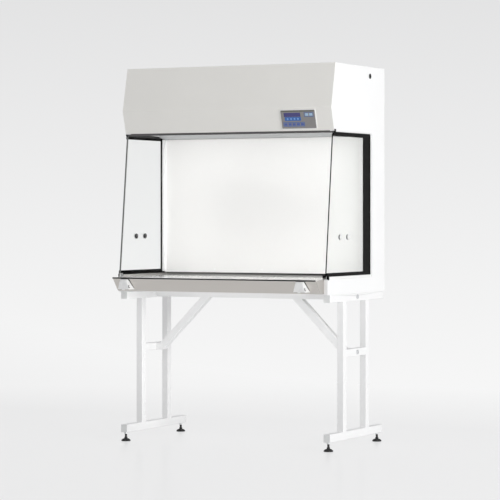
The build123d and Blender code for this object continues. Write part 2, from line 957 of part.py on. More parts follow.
def panel_place(x, up, out):
    """Location on the lower fascia, from the control panel's centre."""
    (fold_y, fold_z), (low_y, low_z) = fascia_line[1], fascia_line[2]
    run = math.hypot(low_y - fold_y, fold_z - low_z)
    up_dir = (0, (fold_y - low_y) / run, (fold_z - low_z) / run)
    out_dir = (0, -up_dir[2], up_dir[1])
    centre = (wall_x - panel_side_set - panel_width / 2, (fold_y + low_y) / 2, (fold_z + low_z) / 2)
    place = Plane(centre, x_dir=(1, 0, 0), z_dir=out_dir)
    return place.location * Pos(x, up, out)


def key_places():
    """Key centres on the panel: a low row, and two keys beside the display."""
    row_x = -panel_width / 2 + panel_rim + key_width / 2 + key_margin
    row_up = -panel_height / 4 - key_row_drop
    places = {}
    for i in range(key_count):
        places["key_" + str(i + 1)] = (row_x + i * key_pitch, row_up)
    right = panel_width / 2 - panel_rim - key_width / 2 - key_margin
    places["up_key"] = (right - key_pitch, panel_height / 4)
    places["down_key"] = (right, panel_height / 4)
    return places


display_x = -panel_width / 2 + panel_rim + display_margin + display_width / 2
display_up = panel_height / 4


def control_plate():
    """Front plate of the control panel with its key holes and display pocket."""
    face = RectangleRounded(panel_width, panel_height, panel_corner)
    solid = extrude(face, panel_thick)
    solid = chamfer(solid.edges().group_by(Axis.Z)[-1], key_edge)
    pocket = Pos(display_x, display_up, panel_thick) * Box(display_width, display_height, 2 * display_depth)
    solid -= pocket
    hole = RectangleRounded(key_width + 2 * key_gap, key_height + 2 * key_gap, key_corner + key_gap)
    for x, up in key_places().values():
        solid -= Pos(x, up, -panel_thick / 2) * extrude(hole, 2 * panel_thick)
    return panel_place(0, 0, 0) * solid


def display_window():
    """Clear window in the plate's pocket."""
    size = (display_width - 2 * display_gap, display_height - 2 * display_gap)
    low = panel_thick - display_depth
    window = Pos(display_x, display_up, low + display_depth / 2) * Box(*size, display_depth)
    return panel_place(0, 0, 0) * window


def panel_key(x, up):
    """Push key with a flange that stops under the plate."""
    outline = RectangleRounded(key_width, key_height, key_corner)
    cap = extrude(outline, panel_thick + key_proud)
    cap = fillet(cap.edges().group_by(Axis.Z)[-1], key_edge)
    flange = RectangleRounded(key_width + 2 * key_flange, key_height + 2 * key_flange, key_corner)
    cap += Pos(0, 0, -key_flange_thick - key_rest_gap) * extrude(flange, key_flange_thick)
    cap += Pos(0, 0, -key_flange_thick) * extrude(outline, panel_thick)
    return panel_place(x, up, 0) * cap


def control_box():
    """Board box behind the fascia."""
    back = -sheet - board_depth
    size = (panel_width - 2 * panel_rim - 2 * seam_gap, panel_height - 2 * panel_rim - 2 * seam_gap)
    body = extrude(Rectangle(*size), board_depth + sheet)
    hollow = extrude(Rectangle(size[0] - 2 * sheet, size[1] - 2 * sheet), board_depth + sheet)
    room = key_flange_thick + key_travel + key_proud
    body -= Pos(0, 0, board_depth + sheet - room) * hollow
    return panel_place(0, 0, back) * body


# ---------------------------------------------------------------- cable grommet


def cable_grommet():
    """Grommet in the right side panel where the supply cable enters."""
    centre = (edge_y + grommet_y, hood_top - grommet_drop)
    skin = wall_x - sheet
    ring = rod(grommet_radius - seam_gap / 2, skin, wall_x, *centre)
    ring += rod(grommet_rim, wall_x, wall_x + grommet_lip, *centre)
    ring += rod(grommet_rim, skin - grommet_lip, skin, *centre)
    return ring - rod(grommet_bore, skin - 2 * grommet_lip, wall_x + 2 * grommet_lip, *centre)


# ---------------------------------------------------------------- stand

frame_x = wall_x - tube_width / 2
rail_z = stand_height - rail_height / 2
foot_rail_z = foot_rail_lift + foot_rail_height / 2
brace_y = edge_y + brace_set
cross_z = stand_height - brace_height / 2


def bar_y(y0, y1, z, height, shrink):
    """Tube blank or its bore along Y in the right side frame."""
    section = RectangleRounded(tube_width - 2 * shrink, height - 2 * shrink, tube_corner - shrink / 2)
    return extrude(Plane((frame_x, y0, z), x_dir=(1, 0, 0), z_dir=(0, 1, 0)) * section, y1 - y0)


def bar_z(y, z0, z1, shrink):
    """Tube blank or its bore along Z in the right side frame."""
    section = RectangleRounded(tube_width - 2 * shrink, tube_depth - 2 * shrink, tube_corner - shrink / 2)
    return extrude(Plane((frame_x, y, z0)) * section, z1 - z0)


def frame_tubes(shrink):
    """All tubes of the right side frame, as blanks or as bores."""
    front = edge_y + rail_front + cap_thick
    legs = (edge_y + front_leg_set + tube_depth / 2, edge_y + rear_leg_set + tube_depth / 2)
    tubes = bar_y(front, edge_y + rail_rear - cap_thick, rail_z, rail_height, shrink)
    tubes += bar_y(front, edge_y + foot_rail_rear - cap_thick, foot_rail_z, foot_rail_height, shrink)
    tubes += bar_y(legs[0], legs[1], mid_rail_height, rail_height, shrink)
    for y in legs:
        tubes += bar_z(y, foot_rail_z, rail_z, shrink)
    return tubes


def foot_places():
    """Centres of the right-hand levelling feet, as Y."""
    return [edge_y + foot_front_set, edge_y + foot_rear_set]


def side_frame():
    """Right side frame of the stand, welded from rectangular tube."""
    frame = frame_tubes(0) - frame_tubes(tube_wall)
    for z in (cross_z, mid_rail_height):
        frame -= rod(bolt_radius + bolt_gap, wall_x - 2 * tube_width, wall_x + sheet, brace_y, z)
    for y in foot_places():
        frame -= Pos(frame_x, y, foot_rail_lift) * Cylinder(stud_hole_radius, 3 * tube_wall)
    return frame


def rail_end_caps():
    """Plugs that close the ends of the top and foot rails."""
    caps = []
    ends = [
        (edge_y + rail_front, 1, rail_z, rail_height),
        (edge_y + rail_rear, -1, rail_z, rail_height),
        (edge_y + rail_front, 1, foot_rail_z, foot_rail_height),
        (edge_y + foot_rail_rear, -1, foot_rail_z, foot_rail_height),
    ]
    for y, way, z, height in ends:
        near = sorted((y, y + way * cap_thick))
        far = sorted((y + way * cap_thick, y + way * (cap_thick + cap_plug)))
        cap = bar_y(*near, z, height, 0)
        cap += bar_y(*far, z, height, tube_wall + cap_gap)
        caps += both_sides(cap)
    return caps


def brace_band(width, depth, end_x, top_z):
    """Stub and diagonal of the brace as one mitred bar on the right."""
    kink_x = inner_face() - brace_stub
    rise = top_z - mid_rail_height
    half = width / 2
    corner = half * math.tan(math.radians(22.5))
    diagonal = half * math.sqrt(2)
    points = [
        (end_x, mid_rail_height - half),
        (kink_x - corner, mid_rail_height - half),
        (kink_x - rise - diagonal, top_z),
        (kink_x - rise + diagonal, top_z),
        (kink_x + corner, mid_rail_height + half),
        (end_x, mid_rail_height + half),
    ]
    face = make_face(Polyline(*points, close=True))
    return extrude(Plane((0, brace_y + depth / 2, 0), x_dir=(1, 0, 0), z_dir=(0, -1, 0)) * face, depth)


def inner_face():
    """X of the inner face of the right side frame."""
    return wall_x - tube_width


def cross_brace():
    """Cross rail and two diagonals welded into one piece."""
    x = inner_face()
    half = brace_depth / 2
    low = stand_height - brace_height
    brace = block(-x, x, brace_y - half, brace_y + half, low, stand_height)
    solid_end = x - brace_plug
    bore = block(-solid_end, solid_end, brace_y - half + tube_wall, brace_y + half - tube_wall,
                 low + tube_wall, stand_height - tube_wall)
    arm = brace_band(brace_bar, brace_depth, x, low + tube_wall)
    inside = (brace_bar - 2 * tube_wall, brace_depth - 2 * tube_wall)
    arm_bore = brace_band(*inside, solid_end, low + 2 * tube_wall)
    for shape in both_sides(arm):
        brace += shape
    for shape in both_sides(arm_bore):
        bore += shape
    brace -= bore
    brace -= Pos(0, brace_y, low) * Cylinder(vent_radius, 4 * tube_wall)
    for z in (cross_z, mid_rail_height):
        for side in (-1, 1):
            brace -= rod(bolt_radius + bolt_gap, side * (x - brace_plug), side * (x + sheet), brace_y, z)
    return brace


def frame_bolts():
    """Socket-head bolts that hold the brace to the side frames."""
    bolts = []
    for z in (cross_z, mid_rail_height):
        bolt = rod(bolt_head_radius, wall_x, wall_x + bolt_head, brace_y, z)
        bolt = fillet(bolt.edges().group_by(Axis.X)[-1], bolt_head * 0.4)
        bolt += rod(bolt_radius, wall_x - bolt_length, wall_x, brace_y, z)
        key = Plane((wall_x + bolt_head, brace_y, z), x_dir=(0, 1, 0), z_dir=(1, 0, 0))
        bolt -= extrude(key * RegularPolygon(bolt_key, 6), -bolt_head * 0.6)
        bolts += both_sides(bolt)
    return bolts


def foot_nuts():
    """Nuts under the foot rails that guide the studs."""
    nuts = []
    for y in foot_places():
        nut = extrude(RegularPolygon(nut_flats / 2, 6, major_radius=False), nut_height)
        nut -= Pos(0, 0, nut_height / 2) * Cylinder(stud_radius + stud_gap, 2 * nut_height)
        nuts += both_sides(Pos(frame_x, y, foot_rail_lift - nut_height) * nut)
    return nuts


def levelling_foot(x, y):
    """Bell-shaped pad, neck and stud turned as one foot."""
    outline = Polyline(
        (foot_neck_radius, foot_bell_height),
        (foot_neck_radius, foot_neck_height),
        (stud_radius, foot_neck_height),
        (stud_radius, stud_top - stud_chamfer),
        (stud_radius - stud_chamfer, stud_top),
        (0, stud_top),
        (0, 0),
        (foot_pad_radius - foot_edge, 0),
        (foot_pad_radius, foot_edge),
        (foot_pad_radius, foot_pad),
    )
    middle = ((foot_pad_radius + foot_neck_radius) / 2, (foot_pad + foot_bell_height) / 2)
    bulge = (middle[0] + foot_bulge, middle[1] + foot_bulge)
    bell = ThreePointArc((foot_pad_radius, foot_pad), bulge, (foot_neck_radius, foot_bell_height))
    profile = make_face([*outline.edges(), bell])
    return Pos(x, y, 0) * revolve(Plane.XZ * profile, Axis.Z)


# ---------------------------------------------------------------- write the pieces

panel = side_panel()
save(panel - grommet_hole(), "right_side_panel")
save(mirror(panel, about=Plane.YZ), "left_side_panel")
save(fascia(), "fascia")
save(top_cover(), "top_cover")
save(intake_grille(), "intake_grille")
save(prefilter(), "prefilter")
save(back_panel(), "back_panel")
save(back_screws(), "back_screws")
save(base_pan(), "base_pan")

for name, shape in (("window_frame", window_frame()), ("side_glass", side_glass())):
    save(shape, "right_" + name)
    save(mirror(shape, about=Plane.YZ), "left_" + name)
plugs = []
caps = []
for place in port_places():
    plugs += both_sides(port_plug(*place))
    caps += both_sides(port_cap(*place))
save(plugs, "port_plugs")
save(caps, "port_caps")
clips = both_sides(glass_clip(edge_y, window_low, frame_low, clip_low_tongue))
top_clip_y = edge_y + fascia_low_set + 2 * sheet
clips += both_sides(glass_clip(top_clip_y, frame_high, window_high, clip_top_tongue))
save(clips, "glass_clips")

save(worktop(), "worktop")
save(worktop_upstands(), "worktop_upstands")
save(front_apron(), "front_apron")
for side, x in socket_places.items():
    save(socket_body(x), side + "_socket_body")
    save(socket_lid(x), side + "_socket_lid")
    save(socket_insert(x), side + "_socket_insert")

save(diffuser_screen(), "diffuser_screen")
save(corner_strips(), "corner_strips")
save(filter_frame(), "filter_frame")
save(filter_pack(), "filter_pack")
save(filter_clamps(), "filter_clamps")
save(chamber_ceiling(), "chamber_ceiling")
save(lamp_reflector(), "lamp_reflector")
save(lamp_tube(), "lamp_tube")
save(lamp_holders(), "lamp_holders")
save(lamp_cover(), "lamp_cover")
save(fan_deck(), "fan_deck")
save(fan_scroll(), "fan_scroll")
save(fan_impeller(), "fan_impeller")
save(fan_motor(), "fan_motor")

save(control_plate(), "control_plate")
save(display_window(), "display_window")
save(control_box(), "control_box")
for name, place in key_places().items():
    save(panel_key(*place), name)
save(cable_grommet(), "cable_grommet")

frame = side_frame()
save(frame, "right_side_frame")
save(mirror(frame, about=Plane.YZ), "left_side_frame")
save(cross_brace(), "cross_brace")
save(rail_end_caps(), "rail_end_caps")
save(frame_bolts(), "frame_bolts")
save(foot_nuts(), "foot_nuts")
for side, x in (("left", -frame_x), ("right", frame_x)):
    for end, y in zip(("front", "rear"), foot_places()):
        save(levelling_foot(x, y), side + "_" + end + "_foot")
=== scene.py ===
"""Looks of a horizontal laminar flow hood with glass sides, standing on a braced tube stand."""

import logging
import math
from dataclasses import dataclass
from enum import Enum
from typing import Iterable

import bmesh
import bpy
from mathutils import Matrix, Vector


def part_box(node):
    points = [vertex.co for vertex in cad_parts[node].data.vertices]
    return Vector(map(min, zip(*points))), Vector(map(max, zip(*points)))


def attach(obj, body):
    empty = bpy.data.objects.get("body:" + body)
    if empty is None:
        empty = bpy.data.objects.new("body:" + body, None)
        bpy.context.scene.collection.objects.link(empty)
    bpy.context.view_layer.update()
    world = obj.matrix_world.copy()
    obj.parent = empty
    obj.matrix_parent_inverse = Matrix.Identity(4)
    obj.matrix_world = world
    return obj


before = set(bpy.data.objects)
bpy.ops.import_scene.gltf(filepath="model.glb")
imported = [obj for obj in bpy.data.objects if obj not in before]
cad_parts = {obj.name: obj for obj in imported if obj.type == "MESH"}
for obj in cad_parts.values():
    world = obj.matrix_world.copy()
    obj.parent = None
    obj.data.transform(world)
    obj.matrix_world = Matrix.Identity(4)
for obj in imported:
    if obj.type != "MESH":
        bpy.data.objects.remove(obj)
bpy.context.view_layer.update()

LOG = logging.getLogger("flow_hood")
Colour = tuple[float, float, float]
Triple = tuple[float, float, float]
Outline = Iterable[tuple[float, float]]
MM = 0.001
NOISE_SPAN = (0.3, 0.7)


# ---------------------------------------------------------------- shader tools


class Wire:
    """Output socket of a node, which can be used in sums."""

    def __init__(self, graph: "Graph", socket: bpy.types.NodeSocket) -> None:
        """Keep the graph that the socket belongs to."""
        self.graph = graph
        self.socket = socket

    def _join(self, operation: str, first: object, second: object) -> "Wire":
        """Add one Math node.

        Args:
            operation: The Math node's operation.
            first: Left value or wire.
            second: Right value or wire.

        Returns:
            The node's output.
        """
        return self.graph.node("ShaderNodeMath", {"operation": operation}, {0: first, 1: second})

    def __add__(self, other: object) -> "Wire":
        """self + other."""
        return self._join("ADD", self, other)

    def __radd__(self, other: object) -> "Wire":
        """other + self."""
        return self._join("ADD", other, self)

    def __sub__(self, other: object) -> "Wire":
        """self - other."""
        return self._join("SUBTRACT", self, other)

    def __rsub__(self, other: object) -> "Wire":
        """other - self."""
        return self._join("SUBTRACT", other, self)

    def __mul__(self, other: object) -> "Wire":
        """self * other."""
        return self._join("MULTIPLY", self, other)

    def __rmul__(self, other: object) -> "Wire":
        """other * self."""
        return self._join("MULTIPLY", other, self)

    def __truediv__(self, other: object) -> "Wire":
        """self / other."""
        return self._join("DIVIDE", self, other)

    def __rtruediv__(self, other: object) -> "Wire":
        """other / self."""
        return self._join("DIVIDE", other, self)

    def power(self, exponent: float) -> "Wire":
        """self to a power."""
        return self._join("POWER", self, exponent)

    def repeat(self) -> "Wire":
        """Fractional part of self."""
        return self.graph.node("ShaderNodeMath", {"operation": "FRACT"}, {0: self})


class Graph:
    """Node tree of one material or world, with one maker for its nodes."""

    def __init__(self, tree: bpy.types.NodeTree) -> None:
        """Empty the tree."""
        self.tree = tree
        tree.nodes.clear()

    def raw(self, kind: str, settings: dict, inputs: dict) -> bpy.types.Node:
        """Add a node.

        Args:
            kind: The node's type.
            settings: Attributes that are set first.
            inputs: Values or wires by socket name or number.

        Returns:
            The node.
        """
        made = self.tree.nodes.new(kind)
        for name, value in settings.items():
            setattr(made, name, value)
        for name, value in inputs.items():
            if isinstance(value, Wire):
                self.tree.links.new(value.socket, made.inputs[name])
            else:
                made.inputs[name].default_value = value
        return made

    def node(self, kind: str, settings: dict, inputs: dict, output: object = 0) -> Wire:
        """Add a node and return one of its outputs as a wire."""
        return Wire(self, self.raw(kind, settings, inputs).outputs[output])

    def place(self) -> Wire:
        """Object coordinates, in metres."""
        return self.node("ShaderNodeTexCoord", {}, {}, "Object")

    def axes(self, vector: Wire) -> tuple[Wire, Wire, Wire]:
        """Split a vector wire into its three parts."""
        made = self.raw("ShaderNodeSeparateXYZ", {}, {0: vector})
        return tuple(Wire(self, socket) for socket in made.outputs)

    def stretch(self, vector: Wire, scale: Triple) -> Wire:
        """Scale a vector wire part by part."""
        return self.node("ShaderNodeMapping", {}, {"Vector": vector, "Scale": scale})

    def noise(self, vector: Wire, scale: float, detail: float = 2.0, roughness: float = 0.5) -> Wire:
        """Noise from 0 to 1."""
        sizes = {"Vector": vector, "Scale": scale, "Detail": detail, "Roughness": roughness}
        return self.node("ShaderNodeTexNoise", {}, sizes)

    def remap(self, wire: Wire, low: float, high: float, to_low: float, to_high: float) -> Wire:
        """Clamp a value to one span and spread it over another."""
        spans = {"Value": wire, "From Min": low, "From Max": high, "To Min": to_low, "To Max": to_high}
        return self.node("ShaderNodeMapRange", {"clamp": True}, spans)

    def blend(self, factor: object, first: object, second: object) -> Wire:
        """Mix two colours."""
        made = self.raw("ShaderNodeMix", {"data_type": "RGBA"}, {0: factor, 6: first, 7: second})
        return Wire(self, made.outputs[2])

    def bump(self, height: Wire, distance: float, strength: float = 1.0) -> Wire:
        """Normal from a height."""
        sizes = {"Strength": strength, "Distance": distance, "Height": height}
        return self.node("ShaderNodeBump", {}, sizes)

    def surface(self, shader: Wire) -> None:
        """Join a shader to the tree's output."""
        output = self.raw("ShaderNodeOutputMaterial", {}, {})
        self.tree.links.new(shader.socket, output.inputs["Surface"])


def rgba(colour: Colour) -> tuple[float, float, float, float]:
    """Opaque colour for a socket."""
    return (*colour, 1.0)


def tinted(colour: Colour, factor: float) -> Colour:
    """Colour made lighter or darker."""
    return tuple(min(1.0, part * factor) for part in colour)


@dataclass(frozen=True)
class Finish:
    """A named surface finish. Each kind adds its own pattern.

    Attributes:
        name: Name of the material.
        colour: Base colour, linear.
        roughness: Middle roughness.
        tints: Darkest and lightest tint of the colour.
        swing: How far the roughness goes below and above its middle.
    """

    name: str
    colour: Colour
    roughness: float
    tints: tuple[float, float] = (1.0, 1.0)
    swing: tuple[float, float] = (0.0, 0.0)

    def constants(self) -> dict:
        """Values that are the same all over the surface."""
        return {}

    def pattern(self, graph: Graph) -> dict:
        """Sockets that change over the surface."""
        return {}

    def shades(self, graph: Graph, factor: Wire) -> Wire:
        """Blend from the darkest to the lightest tint of the colour.

        Args:
            graph: The material's graph.
            factor: Pattern from 0 to 1.

        Returns:
            The blended colour.
        """
        low, high = (rgba(tinted(self.colour, tint)) for tint in self.tints)
        return graph.blend(factor, low, high)

    def wear(self, graph: Graph, pattern: Wire, span: tuple[float, float] = NOISE_SPAN) -> Wire:
        """Roughness that a pattern moves down and up from its middle.

        Args:
            graph: The material's graph.
            pattern: The pattern.
            span: Values that the pattern mostly stays within.

        Returns:
            The roughness.
        """
        down, up = self.swing
        return graph.remap(pattern, *span, self.roughness - down, self.roughness + up)

    def material(self) -> bpy.types.Material:
        """Build the material.

        Returns:
            The new material.
        """
        made = bpy.data.materials.new(self.name)
        made.use_nodes = True
        graph = Graph(made.node_tree)
        inputs = {"Base Color": rgba(self.colour), "Roughness": self.roughness}
        inputs.update(self.constants())
        inputs.update(self.pattern(graph))
        graph.surface(graph.node("ShaderNodeBsdfPrincipled", {}, inputs))
        made.diffuse_color = rgba(self.colour)
        return made


@dataclass(frozen=True)
class PowderCoat(Finish):
    """Baked powder coat with a fine orange-peel texture and a faint mottle."""

    tints: tuple[float, float] = (0.975, 1.02)
    swing: tuple[float, float] = (0.05, 0.06)
    mottle: float = 5.0
    dust: float = 40.0
    grain: float = 900.0
    depth: float = 0.00006
    shine: float = 0.5

    def constants(self) -> dict:
        """Strength of the coat's reflections."""
        return {"Specular IOR Level": self.shine}

    def pattern(self, graph: Graph) -> dict:
        """Peel, mottle and a little dust in the roughness."""
        place = graph.place()
        peel = graph.noise(place, self.grain, 3.0)
        colour = self.shades(graph, graph.noise(place, self.mottle))
        rough = self.wear(graph, graph.noise(place, self.dust))
        return {"Base Color": colour, "Roughness": rough, "Normal": graph.bump(peel, self.depth, 0.5)}


@dataclass(frozen=True)
class BrushedSteel(Finish):
    """Stainless sheet brushed along its length, with soft smears."""

    tints: tuple[float, float] = (0.86, 1.1)
    swing: tuple[float, float] = (0.06, 0.08)
    brush: Triple = (3.0, 1400.0, 1400.0)
    smear: Triple = (2.0, 6.0, 6.0)
    brushed: float = 0.7

    def constants(self) -> dict:
        """Full metal."""
        return {"Metallic": 1.0}

    def pattern(self, graph: Graph) -> dict:
        """Brush lines in colour, roughness and bump."""
        place = graph.place()
        lines = graph.noise(graph.stretch(place, self.brush), 1.0, 3.0, 0.6)
        smear = graph.noise(graph.stretch(place, self.smear), 1.0)
        shade = lines * self.brushed + smear * (1.0 - self.brushed)
        colour = self.shades(graph, shade)
        rough = self.wear(graph, shade)
        return {"Base Color": colour, "Roughness": rough, "Normal": graph.bump(lines, 0.00002, 0.35)}


@dataclass(frozen=True)
class ReflectionPaintedSteel(BrushedSteel):
    """Brushed strip with a painted reflection: its colour darkens along its length, standing in for
    the darker side of the chamber that it mirrors.

    Attributes:
        painted_reflection_end: Colour at the right-hand end, painted reflection of the darker side of
            the chamber.
        painted_room_reflection: Colour of the left side and of the foot, painted reflection of the
            open room.
        span: X where the strip's painted reflection starts and stops changing.
        side: X between which the left side turns into the strip.
        foot: Z between which the foot turns into the strip.
    """

    painted_reflection_end: Colour = (0.04, 0.038, 0.036)
    painted_room_reflection: Colour = (0.62, 0.61, 0.60)
    span: tuple[float, float] = (-0.59, 0.45)
    side: tuple[float, float] = (-0.596, -0.594)
    foot: tuple[float, float] = (0.895, 0.898)

    def pattern(self, graph: Graph) -> dict:
        """Brush lines over a painted reflection that changes along X."""
        made = super().pattern(graph)
        x, _, z = graph.axes(graph.place())
        # Painted reflection: darker from left to right along X, paler on the left side and on the
        # foot.
        share = graph.remap(x, *self.span, 0.0, 1.0)
        painted_room_mask = graph.remap(x, *self.side, 1.0, 0.0) + graph.remap(z, *self.foot, 1.0, 0.0)
        tone = graph.blend(share, rgba(self.colour), rgba(self.painted_reflection_end))
        made["Base Color"] = graph.blend(painted_room_mask, tone, rgba(self.painted_room_reflection))
        return made


@dataclass(frozen=True)
class Zinc(Finish):
    """Zinc-plated steel with a faint spangle."""

    tints: tuple[float, float] = (0.9, 1.06)
    swing: tuple[float, float] = (0.06, 0.06)
    spangle: float = 90.0

    def constants(self) -> dict:
        """Full metal."""
        return {"Metallic": 1.0}

    def pattern(self, graph: Graph) -> dict:
        """Spangle cells in colour and roughness."""
        sizes = {"Vector": graph.place(), "Scale": self.spangle}
        cells = graph.node("ShaderNodeTexVoronoi", {}, sizes, "Color")
        tone = graph.axes(cells)[0]
        rough = self.wear(graph, tone, (0.0, 1.0))
        return {"Base Color": self.shades(graph, tone), "Roughness": rough}


@dataclass(frozen=True)
class Moulded(Finish):
    """Moulded plastic or rubber with a fine eroded grain."""

    tints: tuple[float, float] = (0.95, 1.04)
    swing: tuple[float, float] = (0.04, 0.05)
    mottle: float = 25.0
    grain: float = 1500.0
    depth: float = 0.00004
    coat: float = 0.0

    def constants(self) -> dict:
        """Clear coat of a polished mould."""
        return {"Coat Weight": self.coat, "Coat Roughness": 0.12}

    def pattern(self, graph: Graph) -> dict:
        """Grain in bump, with a light mottle."""
        place = graph.place()
        grain = graph.noise(place, self.grain)
        mottle = graph.noise(place, self.mottle)
        colour = self.shades(graph, mottle)
        rough = self.wear(graph, mottle)
        return {"Base Color": colour, "Roughness": rough, "Normal": graph.bump(grain, self.depth, 0.4)}


@dataclass(frozen=True)
class ClearGlass(Finish):
    """Toughened glass with a faint green body and finger haze.

    Attributes:
        bend: Index of refraction, low as on glass with an anti-glare coat.
        smudge: Size of the haze's pattern.
    """

    swing: tuple[float, float] = (0.0, 0.02)
    bend: float = 1.16
    smudge: float = 6.0

    def constants(self) -> dict:
        """Clear body."""
        return {"Transmission Weight": 1.0, "IOR": self.bend}

    def pattern(self, graph: Graph) -> dict:
        """Very slight haze."""
        haze = graph.noise(graph.place(), self.smudge, 3.0)
        return {"Roughness": self.wear(graph, haze, (0.45, 0.8))}


@dataclass(frozen=True)
class Perforated(Finish):
    """White coated screen with rows of small punched holes.

    Attributes:
        pitch: Distance between the holes.
        hole: Radius of a hole, as a share of the pitch.
        blur: Softness of its edge, as a share of the pitch.
    """

    tints: tuple[float, float] = (0.9, 1.0)
    pitch: float = 0.004
    hole: float = 0.28
    blur: float = 0.06

    def pattern(self, graph: Graph) -> dict:
        """Round holes in colour and bump."""
        x, _, z = graph.axes(graph.place())
        dx = (x / self.pitch).repeat() - 0.5
        dz = (z / self.pitch).repeat() - 0.5
        reach = (dx * dx + dz * dz).power(0.5)
        solid = graph.remap(reach, self.hole - self.blur, self.hole + self.blur, 0.0, 1.0)
        return {"Base Color": self.shades(graph, solid), "Normal": graph.bump(solid, 0.0003, 0.25)}


@dataclass(frozen=True)
class Fibre(Finish):
    """Matted filter fibre."""

    tints: tuple[float, float] = (0.8, 1.1)
    thread: float = 350.0

    def pattern(self, graph: Graph) -> dict:
        """Tangled threads."""
        tangle = graph.noise(graph.place(), self.thread, 5.0, 0.7)
        return {"Base Color": self.shades(graph, tangle), "Normal": graph.bump(tangle, 0.0006, 0.8)}


@dataclass(frozen=True)
class Lit(Finish):
    """Frosted or coated surface that gives light."""

    strength: float = 1.0
    frosting: float = 1200.0

    def constants(self) -> dict:
        """Its own light."""
        return {"Emission Color": rgba(self.colour), "Emission Strength": self.strength}

    def pattern(self, graph: Graph) -> dict:
        """Fine frosting."""
        frost = graph.noise(graph.place(), self.frosting)
        return {"Normal": graph.bump(frost, 0.00005, 0.4)}


class Slot(Enum):
    """Finishes of the hood, under their material slots' names."""

    WHITE = PowderCoat("white_coat", (0.90, 0.90, 0.895), 0.42)
    GREY = PowderCoat("grey_coat", (0.94, 0.925, 0.88), 0.45, shine=0.35)
    STEEL = BrushedSteel("stainless", (0.64, 0.612, 0.58), 0.33)
    # Dark start of the upstand's painted reflection, which darkens further to the right.
    STEEL_EDGE = ReflectionPaintedSteel("stainless_upstand", (0.27, 0.26, 0.25), 0.32)
    STEEL_TOP = BrushedSteel("stainless_worktop", (0.92, 0.91, 0.89), 0.24)
    # White ceiling coloured grey: painted shade for the shadow it lies in behind the fascia.
    CEILING = PowderCoat("ceiling_painted_shade", (0.47, 0.475, 0.48), 0.5, shine=0.3)
    TRIM_GREY = PowderCoat("nosing_trim_grey", (0.012, 0.011, 0.010), 0.55, shine=0.12)
    # Black and grey of the panes' dark edge strips: painted shade for the dark look of the polished
    # glass edges.
    EDGE_SHADE_BLACK = PowderCoat("edge_shade_black", (0.006, 0.006, 0.006), 0.5, shine=0.1)
    EDGE_SHADE_GREY = Moulded("edge_shade_grey", (0.16, 0.165, 0.16), 0.45)
    ZINC = Zinc("zinc", (0.70, 0.71, 0.72), 0.34)
    ALLOY = BrushedSteel("aluminium", (0.76, 0.77, 0.78), 0.36)
    BLACK_TRIM = PowderCoat("black_trim", (0.003, 0.003, 0.003), 0.5, shine=0.06)
    # Dark grey of the strip under the fascia: painted shade.
    SHADE_STRIP_GREY = PowderCoat("shade_strip_grey", (0.125, 0.12, 0.12), 0.6, shine=0.2)
    BLACK = Moulded("black_plastic", (0.02, 0.02, 0.021), 0.45)
    RUBBER = Moulded("black_rubber", (0.018, 0.018, 0.018), 0.62)
    PALE = Moulded("pale_plastic", (0.80, 0.80, 0.79), 0.4)
    SOCKET = Moulded("socket_white", (0.95, 0.95, 0.94), 0.28, coat=0.3)
    # Dark grey of the latches, and painted shade on the plates round the housings and the rings behind
    # the lids.
    SOCKET_LATCH_AND_SHADE = PowderCoat("socket_latch_and_shade", (0.035, 0.035, 0.032), 0.6, shine=0.15)
    # Grey on the lid's white moulded ribs: painted shade lines of the moulding.
    SOCKET_RIB_SHADE = Moulded("socket_rib_shade", (0.60, 0.60, 0.58), 0.4)
    CAP = Moulded("cap_grey", (0.80, 0.81, 0.80), 0.5)
    FILM = Moulded("panel_grey", (0.29, 0.28, 0.275), 0.45)
    KEY = Moulded("key_blue", (0.10, 0.15, 0.42), 0.4)
    KEY_PALE = Moulded("key_pale_blue", (0.42, 0.60, 0.80), 0.4)
    FIELD_BLUE = Moulded("field_blue", (0.045, 0.15, 0.48), 0.4)
    FIELD_MUTED = Moulded("field_grey_blue", (0.15, 0.20, 0.36), 0.4)
    FIELD_PALE = Moulded("field_pale_blue", (0.25, 0.45, 0.78), 0.4)
    FIELD_DARK = Moulded("field_olive", (0.12, 0.13, 0.10), 0.45)
    BEZEL = Moulded("panel_bezel", (0.93, 0.93, 0.92), 0.35)
    DISPLAY = Moulded("display", (0.035, 0.03, 0.19), 0.12, coat=0.8)
    GLASS = ClearGlass("glass", (0.985, 0.995, 0.99), 0.0)
    SCREEN = Perforated("white_coat_screen", (0.90, 0.893, 0.875), 0.5)
    PAD = Fibre("filter_pad", (0.75, 0.77, 0.74), 0.9)
    PAPER = Fibre("filter_paper", (0.86, 0.86, 0.84), 0.85)
    LAMP = Lit("lamp_glass", (0.93, 0.95, 0.97), 0.3, strength=0.8)
    COVER = Lit("lamp_plastic", (0.80, 0.81, 0.80), 0.4, strength=0.12)


RECORD_SLOTS = {
    "ceiling_painted_shade": "white_coat",
    "nosing_trim_grey": "black_trim",
    "edge_shade_black": "black_trim",
    "edge_shade_grey": "black_trim",
    "shade_strip_grey": "black_rubber",
    "socket_latch_and_shade": "black_rubber",
    "socket_rib_shade": "socket_white",
    "key_pale_blue": "key_blue",
    "field_blue": "key_blue",
    "field_grey_blue": "key_blue",
    "field_pale_blue": "key_blue",
    "field_olive": "panel_grey",
    "panel_bezel": "panel_grey",
}


class Finishes:
    """Makes each finish once."""

    made: dict[Slot, bpy.types.Material] = {}

    @classmethod
    def get(cls, slot: Slot) -> bpy.types.Material:
        """Material of a slot, built when it is first used."""
        if slot not in cls.made:
            cls.made[slot] = slot.value.material()
        return cls.made[slot]


# ---------------------------------------------------------------- mesh tools


